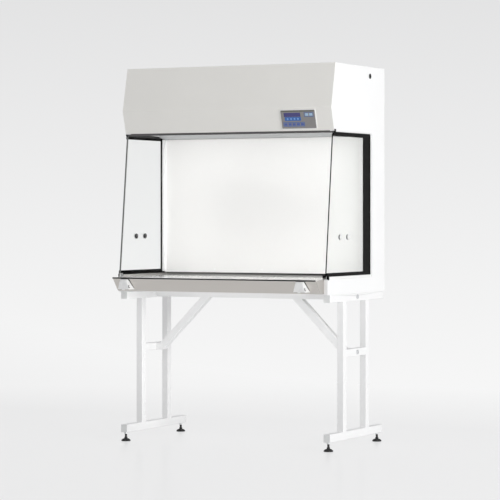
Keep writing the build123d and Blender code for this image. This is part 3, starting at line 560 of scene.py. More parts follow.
def dress(node: str, slot: Slot, soften: float = 0.0) -> None:
    """Give a carried-over node its finish, and soften its edges.

    Args:
        node: The node's name.
        slot: Its finish.
        soften: Width of the rounded edges in metres, or 0.
    """
    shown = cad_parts[node]
    shown.data.materials.clear()
    shown.data.materials.append(Finishes.get(slot))
    if soften:
        weld = shown.modifiers.new("weld", "WELD")
        weld.merge_threshold = 0.00002
        bevel = shown.modifiers.new("soft_edges", "BEVEL")
        bevel.width = soften
        bevel.segments = 2
        bevel.limit_method = "ANGLE"
        bevel.angle_limit = math.radians(35)
        bevel.harden_normals = False
    LOG.info("node %s dressed as %s", node, slot.value.name)


def piece(
    bm: bmesh.types.BMesh, name: str, body: str, slot: Slot, smooth: bool = False
) -> None:
    """Turn a bmesh into a finished piece that rides on a body.

    Args:
        bm: The mesh, already in its place. It is freed.
        name: The piece's name.
        body: The body that carries it.
        slot: Its finish.
        smooth: Whether faces at a small angle are shaded smooth.
    """
    bmesh.ops.remove_doubles(bm, verts=bm.verts, dist=0.000001)
    bmesh.ops.recalc_face_normals(bm, faces=bm.faces)
    mesh = bpy.data.meshes.new(name)
    bm.to_mesh(mesh)
    bm.free()
    shown = bpy.data.objects.new(name, mesh)
    bpy.context.scene.collection.objects.link(shown)
    mesh.materials.append(Finishes.get(slot))
    if smooth:
        mesh.shade_smooth()
        mesh.set_sharp_from_angle(angle=math.radians(40))
    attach(shown, body)
    RECORD_SLOTS.get(slot.value.name, slot.value.name)
    LOG.info("piece %s on %s", name, body)


def turned(
    bm: bmesh.types.BMesh, place: Matrix, profile: Outline, steps: int = 32
) -> None:
    """Spin a profile of radius and height about the local Z axis.

    Args:
        bm: The mesh to add to.
        place: Where the turned piece stands.
        profile: Radius and height of each point.
        steps: Segments round the axis.
    """
    verts = [bm.verts.new((radius, 0, height)) for radius, height in profile]
    edges = [bm.edges.new(pair) for pair in zip(verts, verts[1:])]
    bmesh.ops.spin(
        bm,
        geom=verts + edges,
        axis=(0, 0, 1),
        cent=(0, 0, 0),
        angle=math.tau,
        steps=steps,
        use_merge=True,
    )
    bmesh.ops.transform(bm, matrix=place, verts=connected(verts))


def sheet_strip(
    bm: bmesh.types.BMesh, outline: Outline, x0: float, x1: float, edge: float = 0.0
) -> None:
    """Add a prism along X from an outline in Y and Z.

    Args:
        bm: The mesh to add to.
        outline: Y and Z of each corner, in order.
        x0: Left end.
        x1: Right end.
        edge: Width of the soft edges, or 0.
    """
    verts = [bm.verts.new((x0, y, z)) for y, z in outline]
    face = bm.faces.new(verts)
    made = bmesh.ops.extrude_face_region(bm, geom=[face])["geom"]
    fresh = [v for v in made if isinstance(v, bmesh.types.BMVert)]
    bmesh.ops.translate(bm, vec=(x1 - x0, 0, 0), verts=fresh)
    if edge:
        edges = list({e for v in verts + fresh for e in v.link_edges})
        bmesh.ops.bevel(
            bm, geom=edges, offset=edge, segments=2, profile=0.5, affect="EDGES", material=-1
        )


def flat_piece(
    bm: bmesh.types.BMesh,
    place: Matrix,
    outline: Outline,
    thick: float,
    corner: float = 0.0,
    rim: float = 0.0,
) -> None:
    """Add a flat plate, or a flat ring, that stands on a plane.

    Args:
        bm: The mesh to add to.
        place: The plane, with +Z out of it.
        outline: Corners on the plane, in order.
        thick: Height above the plane.
        corner: Radius of the outline's corners, or 0.
        rim: Width of the ring, or 0 for a whole plate.
    """
    face = bm.faces.new([bm.verts.new((x, y, 0.0)) for x, y in outline])
    if corner:
        bmesh.ops.bevel(
            bm,
            geom=list(face.verts),
            offset=corner,
            segments=4,
            profile=0.5,
            affect="VERTICES",
            material=-1,
        )
        flat = (f for f in bm.faces if all(abs(v.co.z) < 1e-9 for v in f.verts))
        face = max(flat, key=lambda f: f.calc_area())
    ground = [face]
    face.normal_update()
    if rim:
        inset = {"faces": [face], "thickness": rim, "use_boundary": True, "use_even_offset": True}
        ground = bmesh.ops.inset_region(bm, **inset)["faces"]
        bmesh.ops.delete(bm, geom=[face], context="FACES")
    made = bmesh.ops.extrude_face_region(bm, geom=ground)["geom"]
    fresh = [v for v in made if isinstance(v, bmesh.types.BMVert)]
    bmesh.ops.translate(bm, vec=(0, 0, thick), verts=fresh)
    bmesh.ops.transform(bm, matrix=place, verts=connected(fresh))


def plane_at(centre: Triple, across: Triple, up: Triple) -> Matrix:
    """Matrix of a plane from its centre, its X axis and its Y axis."""
    out = Vector(across).cross(Vector(up))
    turn = Matrix((across, up, out)).transposed().to_4x4()
    return Matrix.Translation(centre) @ turn


def box_outline(x0: float, x1: float, y0: float, y1: float) -> list[tuple[float, float]]:
    """Four corners of an upright rectangle, counter-clockwise."""
    return [(x0, y0), (x1, y0), (x1, y1), (x0, y1)]


def tapered_outline(base: float, top: float, z0: float, z1: float) -> list[tuple[float, float]]:
    """Four corners of an upright trapezium from its half widths, counter-clockwise."""
    return [(-base, z0), (base, z0), (top, z1), (-top, z1)]


def mirrored(bm: bmesh.types.BMesh) -> None:
    """Add the left-hand copy of a right-hand mesh."""
    geom = list(bm.verts) + list(bm.edges) + list(bm.faces)
    bmesh.ops.mirror(bm, geom=geom, matrix=Matrix.Identity(4), merge_dist=-1.0, axis="X")


def connected(seed: list[bmesh.types.BMVert]) -> list[bmesh.types.BMVert]:
    """All vertices joined to the seed by edges."""
    found = set(v for v in seed if v.is_valid)
    wave = list(found)
    while wave:
        vert = wave.pop()
        for edge in vert.link_edges:
            other = edge.other_vert(vert)
            if other not in found:
                found.add(other)
                wave.append(other)
    return list(found)


# ---------------------------------------------------------------- cabinet


@dataclass
class Cabinet:
    """Sheet-metal shell of the hood.

    Attributes:
        fold: Width of the rounded sheet edges.
    """

    fold: float = 0.0008

    def build(self) -> None:
        """Dress the shell."""
        for node in ("left_side_panel", "right_side_panel", "top_cover", "back_panel", "base_pan"):
            dress(node, Slot.WHITE, self.fold)
        dress("fascia", Slot.GREY, self.fold)
        dress("intake_grille", Slot.GREY)
        dress("prefilter", Slot.PAD, self.fold)
        dress("back_screws", Slot.ZINC)
        dress("cable_grommet", Slot.RUBBER, self.fold)
        dress("filter_clamps", Slot.ZINC)
        dress("filter_frame", Slot.ALLOY, self.fold)
        dress("filter_pack", Slot.PAPER)
        dress("diffuser_screen", Slot.SCREEN)


@dataclass
class SideWindows:
    """Glass sides with black frames, clips and service ports.

    Attributes:
        frame_edge: Width of the frames' soft edges.
        shade_band_thick: Thickness of the dark strip over each pane's top edge, painted shade.
        shade_band_height: Height of that strip.
        shade_band_inset: How far it stands inside the pane's outer face.
        edge_proud: How far the dark edge strip stands in front of each pane.
        shade_strip_leg: Thickness of the strip's inner leg.
        shade_strip_reach: Depth of that leg.
        gasket_height: Height of the gasket above each frame.
        gasket_depth: Thickness of that gasket.
        gasket_start: How far behind the ceiling's front edge it starts.
        touch: Small overlap or gap between neighbours.
    """

    frame_edge: float = 0.0006
    shade_band_thick: float = 0.0016
    shade_band_height: float = 0.0134
    shade_band_inset: float = 0.002
    edge_proud: float = 0.0009
    shade_strip_leg: float = 0.0006
    shade_strip_reach: float = 0.005
    gasket_height: float = 0.004
    gasket_depth: float = 0.003
    gasket_start: float = 0.010
    touch: float = 0.0005

    def glass_front(self, z: float) -> float:
        """Y of the right pane's front edge at its foot or its head.

        Args:
            z: Height of that end.

        Returns:
            The smallest Y of the corners there.
        """
        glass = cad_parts["right_side_glass"].data.vertices
        return min(v.co.y for v in glass if abs(v.co.z - z) < self.touch)

    def edge_shade_strips(self) -> None:
        """L-shaped dark strips along the slanting front edges of both panes: painted shade for the
        dark look that light reflected inside the glass gives the polished edges.
        """
        low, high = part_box("right_side_glass")
        foot = self.glass_front(low[2])
        head = self.glass_front(high[2])
        outline = [
            (foot, low[2]),
            (head, high[2]),
            (head - self.edge_proud, high[2]),
            (foot - self.edge_proud, low[2]),
        ]
        # Painted shade: the right strip is black and the left strip grey, two tones of one dark glass
        # edge.
        for side, sign, slot in (("right", 1, Slot.EDGE_SHADE_BLACK), ("left", -1, Slot.EDGE_SHADE_GREY)):
            bm = bmesh.new()
            inner = sign * (low[0] - self.shade_strip_leg)
            sheet_strip(bm, outline, inner, sign * high[0], self.edge_proud * 0.3)
            leg = outline[:2] + [(y + self.shade_strip_reach, z) for y, z in outline[1::-1]]
            sheet_strip(bm, leg, inner, sign * low[0])
            piece(bm, side + "_edge_shade_strip", "hood", slot)

    def top_shade_strips(self) -> None:
        """Black strips on the chamber side, over the top edges of both panes: painted shade for the
        dark recess there.
        """
        _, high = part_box("right_side_glass")
        z0 = high[2] - self.touch
        y0 = min(self.glass_front(high[2]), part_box("chamber_ceiling")[0][1])
        y1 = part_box("corner_strips")[0][1] - self.touch
        face = high[0] - self.shade_band_inset
        bm = bmesh.new()
        outline = box_outline(y0, y1, z0, z0 + self.shade_band_height)
        sheet_strip(bm, outline, face - self.shade_band_thick, face, self.shade_band_thick * 0.3)
        mirrored(bm)
        # Painted shade: black strips for the shadowed recess above the panes inside the chamber.
        piece(bm, "window_top_shade_strips", "hood", Slot.RUBBER)

    def outer_gaskets(self) -> None:
        """Black gaskets in the rebates above both window frames."""
        low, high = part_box("right_window_frame")
        y0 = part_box("chamber_ceiling")[0][1] + self.gasket_start
        outline = box_outline(y0, high[1], high[2], high[2] + self.gasket_height)
        bm = bmesh.new()
        sheet_strip(bm, outline, low[0], low[0] + self.gasket_depth, 0.4 * MM)
        mirrored(bm)
        piece(bm, "window_gaskets", "hood", Slot.BLACK_TRIM)

    def build(self) -> None:
        """Dress both windows, and add the painted-shade strips on their edges and the gaskets above
        them.
        """
        self.edge_shade_strips()
        self.top_shade_strips()
        self.outer_gaskets()
        for side in ("left", "right"):
            dress(side + "_window_frame", Slot.BLACK_TRIM, self.frame_edge)
            dress(side + "_side_glass", Slot.GLASS, self.frame_edge)
        dress("glass_clips", Slot.BLACK_TRIM, self.frame_edge)
        dress("port_plugs", Slot.BLACK)
        dress("port_caps", Slot.PALE)


@dataclass
class WorkZone:
    """Worktop, apron, ceiling and lamp.

    Attributes:
        press: Width of the pressed edges.
        trim_thick: Thickness of the trim on the nosing.
        shade_strip_depth: Depth of the dark strip under the fascia, painted shade.
        shade_strip_drop: How far that strip hangs.
        shade_strip_gap: Gap between it and the ceiling.
        shade_strip_side: How far it ends inside the ceiling's side edges, where its ends start.
        shade_strip_end_rise: Height of those ends above the window frames.
        screw_radius: Head radius of the diffuser's screws.
        screw_rise: Height of those heads.
        screws_across: Screws along each long edge of the diffuser.
        screw_top: Distance of the upper row, and of each row's ends, from the edge.
        screw_foot: Distance of the lower row from the edge.
        tray_seal: Height of the seals on the worktop's side upstands.
        tray_seal_span: How far they reach inside and outside of the upstands' outer faces.
    """

    press: float = 0.0008
    trim_thick: float = 0.0007
    shade_strip_depth: float = 0.014
    shade_strip_drop: float = 0.0115
    shade_strip_gap: float = 0.0004
    shade_strip_side: float = 0.016
    shade_strip_end_rise: float = 0.007
    screw_radius: float = 0.0045
    screw_rise: float = 0.0018
    screws_across: int = 5
    screw_top: float = 0.014
    screw_foot: float = 0.032
    tray_seal: float = 0.0085
    tray_seal_span: tuple[float, float] = (0.0026, 0.0004)

    def nosing_trim(self) -> None:
        """Dark trim on the front face of the worktop's nosing."""
        low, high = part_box("worktop")
        bottom, top = low[2] + 0.6 * MM, high[2] - 0.3 * MM
        front = low[1] - self.trim_thick
        outline = [(low[1], bottom), (low[1], top), (front, top), (front, bottom)]
        bm = bmesh.new()
        sheet_strip(bm, outline, low[0] + MM, high[0] - MM, self.trim_thick * 0.3)
        piece(bm, "nosing_trim", "hood", Slot.TRIM_GREY)

    def fascia_shade_strip(self) -> None:
        """Dark grey strip under the fascia's return, in front of the ceiling, with ends up the sides:
        painted shade for the shadow there.
        """
        low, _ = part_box("fascia")
        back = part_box("chamber_ceiling")[0][1] - self.shade_strip_gap
        front = back - self.shade_strip_depth
        bottom = low[2] - self.shade_strip_drop
        outline = [(front, low[2]), (front, bottom), (back, bottom), (back, low[2])]
        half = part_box("chamber_ceiling")[1][0] - self.shade_strip_side
        bm = bmesh.new()
        sheet_strip(bm, outline, -half, half, 0.6 * MM)
        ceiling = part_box("right_window_frame")[1][2] + self.shade_strip_end_rise
        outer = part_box("right_side_glass")[0][0] - MM
        ends = [(front, ceiling), (front, bottom), (back, bottom), (back, ceiling)]
        for sign in (-1, 1):
            sheet_strip(bm, ends, sign * half, sign * outer)
        # Painted shade: dark strip for the shadow under the fascia's return.
        piece(bm, "fascia_shade_strip", "hood", Slot.SHADE_STRIP_GREY)

    def tray_seals(self) -> None:
        """Black edge seals on the worktop's side upstands, against the panes."""
        low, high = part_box("worktop_upstands")
        half = self.tray_seal / 2
        y1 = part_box("corner_strips")[0][1] - 0.5 * MM
        inside, outside = self.tray_seal_span
        bm = bmesh.new()
        outline = box_outline(low[1], y1, high[2] - half, high[2] + half)
        sheet_strip(bm, outline, high[0] - inside, high[0] + outside, 0.2 * MM)
        mirrored(bm)
        piece(bm, "tray_seals", "hood", Slot.BLACK_TRIM)

    def diffuser_screws(self) -> None:
        """White dome screws along the upper and lower edges of the diffuser screen."""
        low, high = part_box("diffuser_screen")
        bm = bmesh.new()
        profile = [
            (0.0, self.screw_rise),
            (self.screw_radius * 0.5, self.screw_rise * 0.9),
            (self.screw_radius * 0.85, self.screw_rise * 0.5),
            (self.screw_radius, 0.0),
        ]
        reach = high[0] - self.screw_top
        for i in range(self.screws_across):
            x = -reach + 2 * reach * i / (self.screws_across - 1)
            for z in (low[2] + self.screw_foot, high[2] - self.screw_top):
                place = Matrix.Translation((x, low[1], z)) @ Matrix.Rotation(math.radians(90), 4, "X")
                turned(bm, place, profile, 16)
        piece(bm, "diffuser_screws", "hood", Slot.WHITE, smooth=True)

    def build(self) -> None:
        """Dress the chamber and add its small pieces."""
        self.nosing_trim()
        self.fascia_shade_strip()
        self.tray_seals()
        self.diffuser_screws()
        dress("worktop", Slot.STEEL_TOP, self.press)
        dress("worktop_upstands", Slot.STEEL_EDGE)
        dress("corner_strips", Slot.WHITE, self.press)
        dress("front_apron", Slot.STEEL, self.press)
        # The ceiling's grey is painted shade.
        dress("chamber_ceiling", Slot.CEILING, self.press)
        dress("lamp_reflector", Slot.ZINC)
        dress("lamp_tube", Slot.LAMP)
        dress("lamp_holders", Slot.PALE, self.press)
        dress("lamp_cover", Slot.COVER)


@dataclass
class FanUnit:
    """Fan on its deck."""

    def build(self) -> None:
        """Dress the fan."""
        for node in ("fan_deck", "fan_scroll", "fan_impeller"):
            dress(node, Slot.ZINC)
        dress("fan_motor", Slot.BLACK_TRIM)


# ---------------------------------------------------------------- control panel


@dataclass
class ControlPanel:
    """Front plate, display, printed fields and push keys.

    Attributes:
        centre: Middle of the plate, on the fascia.
        lean: Turn of the plate from upright, in degrees.
        width: Width of the plate.
        height: Height of the plate.
        thick: Thickness of the plate.
        bezel: Width of the pale bezel round the plate.
        film: Thickness of the printed films.
        film_corner: Radius of the fields' corners.
        keys: Nodes of the row of keys.
        arrow_keys: Nodes of the two arrow keys.
        surrounds: Distance from the keys and rim of the line round each group of keys.
        field: Left, right, lower and upper end of the blue field.
        line: Lower and upper end of the dark line, from the plate's top.
        line_end: Distance of the line from the plate's sides.
        marks: Left ends of the pale marks.
        mark: Width, lower and upper end of each mark.
    """

    centre: Triple = (0.429, -0.244, 1.7235)
    lean: float = 15.695
    width: float = 0.198
    height: float = 0.098
    thick: float = 0.004
    bezel: float = 0.0035
    film: float = 0.0002
    film_corner: float = 0.002
    keys: tuple[str, ...] = ("key_1", "key_2", "key_3", "key_4", "key_5")
    arrow_keys: tuple[str, ...] = ("up_key", "down_key")
    surrounds: tuple[tuple[float, float], ...] = ((0.003, 0.0026), (0.005, 0.0046))
    field: tuple[float, float, float, float] = (-0.078, 0.016, -0.0075, 0.0125)
    line: tuple[float, float] = (0.008, 0.003)
    line_end: float = 0.004
    marks: tuple[float, ...] = (-0.066, -0.046, -0.026, -0.006)
    mark: Triple = (0.009, -0.002, 0.007)

    def plane(self, rise: float) -> Matrix:
        """Plane at a height above the fascia, with +Y up the plate."""
        turn = math.radians(self.lean)
        up = (0.0, -math.sin(turn), math.cos(turn))
        out = Vector((0.0, -math.cos(turn), -math.sin(turn)))
        return plane_at(Vector(self.centre) + out * rise, (1.0, 0.0, 0.0), up)

    def bezel_ring(self) -> None:
        """Pale bezel round the plate."""
        half_x = self.width / 2 + self.bezel
        half_y = self.height / 2 + self.bezel
        bm = bmesh.new()
        outline = box_outline(-half_x, half_x, -half_y, half_y)
        rise, corner = self.thick * 0.7, self.bezel * 2
        flat_piece(bm, self.plane(0.0), outline, rise, corner=corner, rim=self.bezel)
        piece(bm, "panel_bezel", "hood", Slot.BEZEL)

    def key_outline(self, keys: tuple[str, ...], margin: float) -> list[tuple[float, float]]:
        """Rectangle on the plate round a row of keys.

        Args:
            keys: The keys' nodes.
            margin: Distance from the keys to the rectangle.

        Returns:
            Its four corners in the plate's plane.
        """
        boxes = [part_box(key) for key in keys]
        slope = math.cos(math.radians(self.lean))
        x0 = min(low[0] for low, _ in boxes) - self.centre[0]
        x1 = max(high[0] for _, high in boxes) - self.centre[0]
        y0 = (min(low[2] for low, _ in boxes) - self.centre[2]) / slope
        y1 = (max(high[2] for _, high in boxes) - self.centre[2]) / slope
        return box_outline(x0 - margin, x1 + margin, y0 - margin, y1 + margin)

    def printed_fields(self) -> None:
        """Blue field under the display, surrounds of the keys, and a dark line along the top."""
        top = self.plane(self.thick)
        (margin, rim), (arrow_margin, arrow_rim) = self.surrounds
        bm = bmesh.new()
        flat_piece(bm, top, box_outline(*self.field), self.film, corner=self.film_corner)
        flat_piece(bm, top, self.key_outline(self.keys, margin), self.film, rim=rim)
        piece(bm, "panel_blue_field", "hood", Slot.FIELD_BLUE)
        bm = bmesh.new()
        outline = self.key_outline(self.arrow_keys, arrow_margin)
        flat_piece(bm, top, outline, self.film, rim=arrow_rim)
        piece(bm, "panel_arrow_field", "hood", Slot.FIELD_MUTED)
        bm = bmesh.new()
        half = self.width / 2 - self.line_end
        bottom, head = (self.height / 2 - end for end in self.line)
        flat_piece(bm, top, box_outline(-half, half, bottom, head), self.film)
        piece(bm, "panel_dark_line", "hood", Slot.FIELD_DARK)
        bm = bmesh.new()
        over = self.plane(self.thick + self.film)
        wide, foot, head = self.mark
        for x in self.marks:
            flat_piece(bm, over, box_outline(x, x + wide, foot, head), self.film / 2, self.film_corner)
        piece(bm, "panel_pale_marks", "hood", Slot.FIELD_PALE)

    def build(self) -> None:
        """Dress the plate and the keys."""
        self.bezel_ring()
        self.printed_fields()
        for key in self.arrow_keys:
            dress(key, Slot.KEY_PALE)
        dress("control_plate", Slot.FILM)
        dress("display_window", Slot.DISPLAY)
        dress("control_box", Slot.PALE)
        for key in self.keys:
            dress(key, Slot.KEY)


# ---------------------------------------------------------------- power sockets


@dataclass
class PowerSockets:
    """Two splash-proof outlets on the apron.

    Attributes:
        top_half: Half the housing's width at its top.
        base_half: Half the housing's width at its foot.
        shade_plate_rim: How far the dark plate shows round the housing, painted shade on the apron.
        shade_plate_thick: Thickness of that plate.
        corner: Radius of the corners of the dark plates, the dark rings and the latches.
        latch_wide: Width of the latch on the housing's right flank.
        latch_high: Height of that latch.
        latch_rise: How far it stands out of the flank.
        latch_share: Its place up the housing, as a share of the height.
        latch_front: Its distance from the housing's front.
        button_inset: How far its button stands inside its edges.
        shade_ring_rim: Width of the dark ring round each lid, painted shade.
        shade_band_thick: Thickness of that ring.
        shade_ring_proud: How far it reaches beyond the lid's sides.
        shade_ring_ends: Its distance from the lid's foot and top.
        rib_thick: Height of the lid's moulded ribs.
        rib_width: Width of the raised border.
        rib_share: Width inside the border, as a share of the lid's.
        rib_ends: Distance of the border from the lid's foot and top.
        rib_corner: Radius of the border's corners.
        bar_half: Half the width and half the height of the bar below the border.
        bar_drop: Distance from the border to the bar's middle.
        bar_corner: Radius of the bar's ends.
    """

    top_half: float = 0.021
    base_half: float = 0.035
    shade_plate_rim: float = 0.0042
    shade_plate_thick: float = 0.0014
    corner: float = 0.002
    latch_wide: float = 0.011
    latch_high: float = 0.014
    latch_rise: float = 0.0009
    latch_share: float = 0.27
    latch_front: float = 0.0025
    button_inset: float = 0.0032
    shade_ring_rim: float = 0.0032
    shade_band_thick: float = 0.0003
    shade_ring_proud: float = 0.0006
    shade_ring_ends: tuple[float, float] = (0.003, 0.004)
    rib_thick: float = 0.00007
    rib_width: float = 0.0012
    rib_share: float = 0.62
    rib_ends: tuple[float, float] = (0.011, 0.013)
    rib_corner: float = 0.003
    bar_half: tuple[float, float] = (0.010, 0.0009)
    bar_drop: float = 0.0055
    bar_corner: float = 0.0006

    def apron_plane(self, x: float, z: float) -> Matrix:
        """Plane on the sloping apron, from the apron's own corners.

        Args:
            x: Middle of the outlet.
            z: Height of the plane's origin.

        Returns:
            The plane, with +Y up the slope and +Z out of the apron.
        """
        low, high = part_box("front_apron")
        verts = [v.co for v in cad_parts["front_apron"].data.vertices]
        foot_z = low[2] + 4 * MM
        head_z = high[2] - 4 * MM
        foot_y = min(v.y for v in verts if v.z < foot_z)
        head_y = min(v.y for v in verts if v.z > head_z)
        run = Vector((0.0, head_y - foot_y, head_z - foot_z)).normalized()
        share = (z - foot_z) / (head_z - foot_z)
        return plane_at((x, foot_y + share * (head_y - foot_y), z), (1.0, 0.0, 0.0), run)

    def upright_plane(self, x: float, y: float) -> Matrix:
        """Plane of the lid's front or back, with +Y up and +Z to the operator."""
        return plane_at((x, y, 0.0), (1.0, 0.0, 0.0), (0.0, 0.0, 1.0))

    def apron_shade_plate(self, side: str, x: float) -> None:
        """Dark plate between the housing and the apron, showing round the housing: painted shade for
        the shadow it casts on the apron.
        """
        low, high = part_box(side + "_socket_body")
        z0 = low[2] - self.shade_plate_rim
        slope = self.apron_plane(x, z0)
        climb = slope[2][1]
        reach = (high[2] + self.shade_plate_rim - z0) / climb
        outline = tapered_outline(
            self.base_half + self.shade_plate_rim, self.top_half + self.shade_plate_rim, 0.0, reach
        )
        bm = bmesh.new()
        flat_piece(bm, slope, outline, self.shade_plate_thick, corner=self.corner)
        # Painted shade: dark plate for the shadow round the housing.
        piece(bm, side + "_socket_shade_plate", "hood", Slot.SOCKET_LATCH_AND_SHADE)

    def lid_shade_ring(self, side: str, x: float) -> None:
        """Dark ring in the gap behind the lid: painted shade for the shadow in that gap."""
        low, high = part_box(side + "_socket_lid")
        z0, z1 = low[2] + self.shade_ring_ends[0], high[2] - self.shade_ring_ends[1]
        outline = tapered_outline(
            self.base_half - self.shade_ring_proud, self.top_half + self.shade_ring_proud, z0, z1
        )
        place = self.upright_plane(x, high[1] - 0.2 * MM)
        bm = bmesh.new()
        flat_piece(bm, place, outline, self.shade_band_thick, corner=self.corner, rim=self.shade_ring_rim)
        # Painted shade: dark ring for the shadow in the gap behind the lid.
        piece(bm, side + "_lid_shade_ring", "hood", Slot.SOCKET_LATCH_AND_SHADE)

    def flank_latch(self, side: str, x: float) -> None:
        """Dark latch with a pale button on the housing's right flank."""
        low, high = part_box(side + "_socket_body")
        z = low[2] + (high[2] - low[2]) * self.latch_share
        half = self.base_half + self.latch_share * (self.top_half - self.base_half)
        up = Vector((self.top_half - self.base_half, 0.0, high[2] - low[2])).normalized()
        wide, tall = self.latch_wide / 2, self.latch_high / 2
        y = low[1] + wide + self.latch_front
        flank = plane_at((x + half, y, z), (0.0, 1.0, 0.0), up)
        for name, inset, rise, slot in (
            ("_latch", 0.0, 0.0, Slot.SOCKET_LATCH_AND_SHADE),
            ("_latch_button", self.button_inset, self.latch_rise, Slot.SOCKET),
        ):
            bm = bmesh.new()
            place = flank @ Matrix.Translation((0, 0, rise))
            outline = box_outline(inset - wide, wide - inset, inset - tall, tall - inset)
            flat_piece(bm, place, outline, self.latch_rise, corner=self.corner)
            piece(bm, side + "_socket" + name, "hood", slot)

    def lid_ribs(self, side: str, x: float) -> None:
        """Raised border and a bar moulded on the lid, which move with it, coloured grey as painted
        shade along the moulding.
        """
        low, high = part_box(side + "_socket_lid")
        z0, z1 = low[2] + self.rib_ends[0], high[2] - self.rib_ends[1]
        place = self.upright_plane(x, low[1] + 0.1 * MM)
        base, top = self.base_half * self.rib_share, self.top_half * self.rib_share
        outline = tapered_outline(base, top, z0, z1)
        bm = bmesh.new()
        flat_piece(bm, place, outline, self.rib_thick, corner=self.rib_corner, rim=self.rib_width)
        bar = place @ Matrix.Translation((0, z0 - self.bar_drop, 0))
        wide, tall = self.bar_half
        outline = box_outline(-wide, wide, -tall, tall)
        flat_piece(bm, bar, outline, self.rib_thick, corner=self.bar_corner)
        # Painted shade: the ribs' grey stands in for the shading lines of the white moulding.
        piece(bm, side + "_lid_ribs", side + "_lid", Slot.SOCKET_RIB_SHADE)

    def build(self) -> None:
        """Dress both outlets and add the painted-shade plates and rings, the ribs and the latches."""
        for side in ("left", "right"):
            low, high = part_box(side + "_socket_lid")
            x = (low[0] + high[0]) / 2
            self.apron_shade_plate(side, x)
            self.lid_shade_ring(side, x)
            self.lid_ribs(side, x)
            self.flank_latch(side, x)
            dress(side + "_socket_body", Slot.SOCKET)
            dress(side + "_socket_lid", Slot.SOCKET)
            dress(side + "_socket_insert", Slot.BLACK)


# ---------------------------------------------------------------- stand


@dataclass
class Stand:
    """Tube stand with its brace, bolts and levelling feet."""

    edge: float = 0.0006

    def build(self) -> None:
        """Dress the stand."""
        for node in ("left_side_frame", "right_side_frame", "cross_brace"):
            dress(node, Slot.WHITE, self.edge)
        dress("rail_end_caps", Slot.CAP, self.edge)
        dress("frame_bolts", Slot.ZINC)
        dress("foot_nuts", Slot.ZINC, self.edge)
        for side in ("left", "right"):
            for end in ("front", "rear"):
                dress(side + "_" + end + "_foot", Slot.RUBBER)


# ---------------------------------------------------------------- studio


@dataclass(frozen=True)
class Strip:
    """Area light, hidden from view and from gloss, for the lamp's or bounced light.

    Attributes:
        name: Its name.
        place: Its middle.
        tilt: Turn about X in degrees: 0 shines down, 90 to the back.
        size: Its width and height.
        power: Watts.
        through_glass: Whether it shows through the panes.
    """

    name: str
    place: Triple
    tilt: float
    size: tuple[float, float]
    power: float
    through_glass: bool = False


CHAMBER_Y = -0.19
CHAMBER_LEVEL = 1.36
WIDE = (1.15, 0.08)
TALL = (0.06, 0.66)
STRIPS = (
    Strip("chamber_light_low", (0.0, CHAMBER_Y, 0.96), 90.0, WIDE, 0.80 * CHAMBER_LEVEL),
    Strip("chamber_light_high", (0.0, CHAMBER_Y, 1.58), 90.0, WIDE, 0.70 * CHAMBER_LEVEL),
    Strip("chamber_light_left", (-0.56, CHAMBER_Y, 1.27), 90.0, TALL, 0.32 * CHAMBER_LEVEL),
    Strip("chamber_light_right", (0.56, CHAMBER_Y, 1.27), 90.0, TALL, 0.37 * CHAMBER_LEVEL),
    Strip("stand_light", (0.0, -0.28, 0.45), 105.0, (1.1, 0.5), 0.6, through_glass=True),
    Strip("base_light", (0.0, -0.36, 0.70), 125.0, (1.1, 0.04), 0.40, through_glass=True),
)


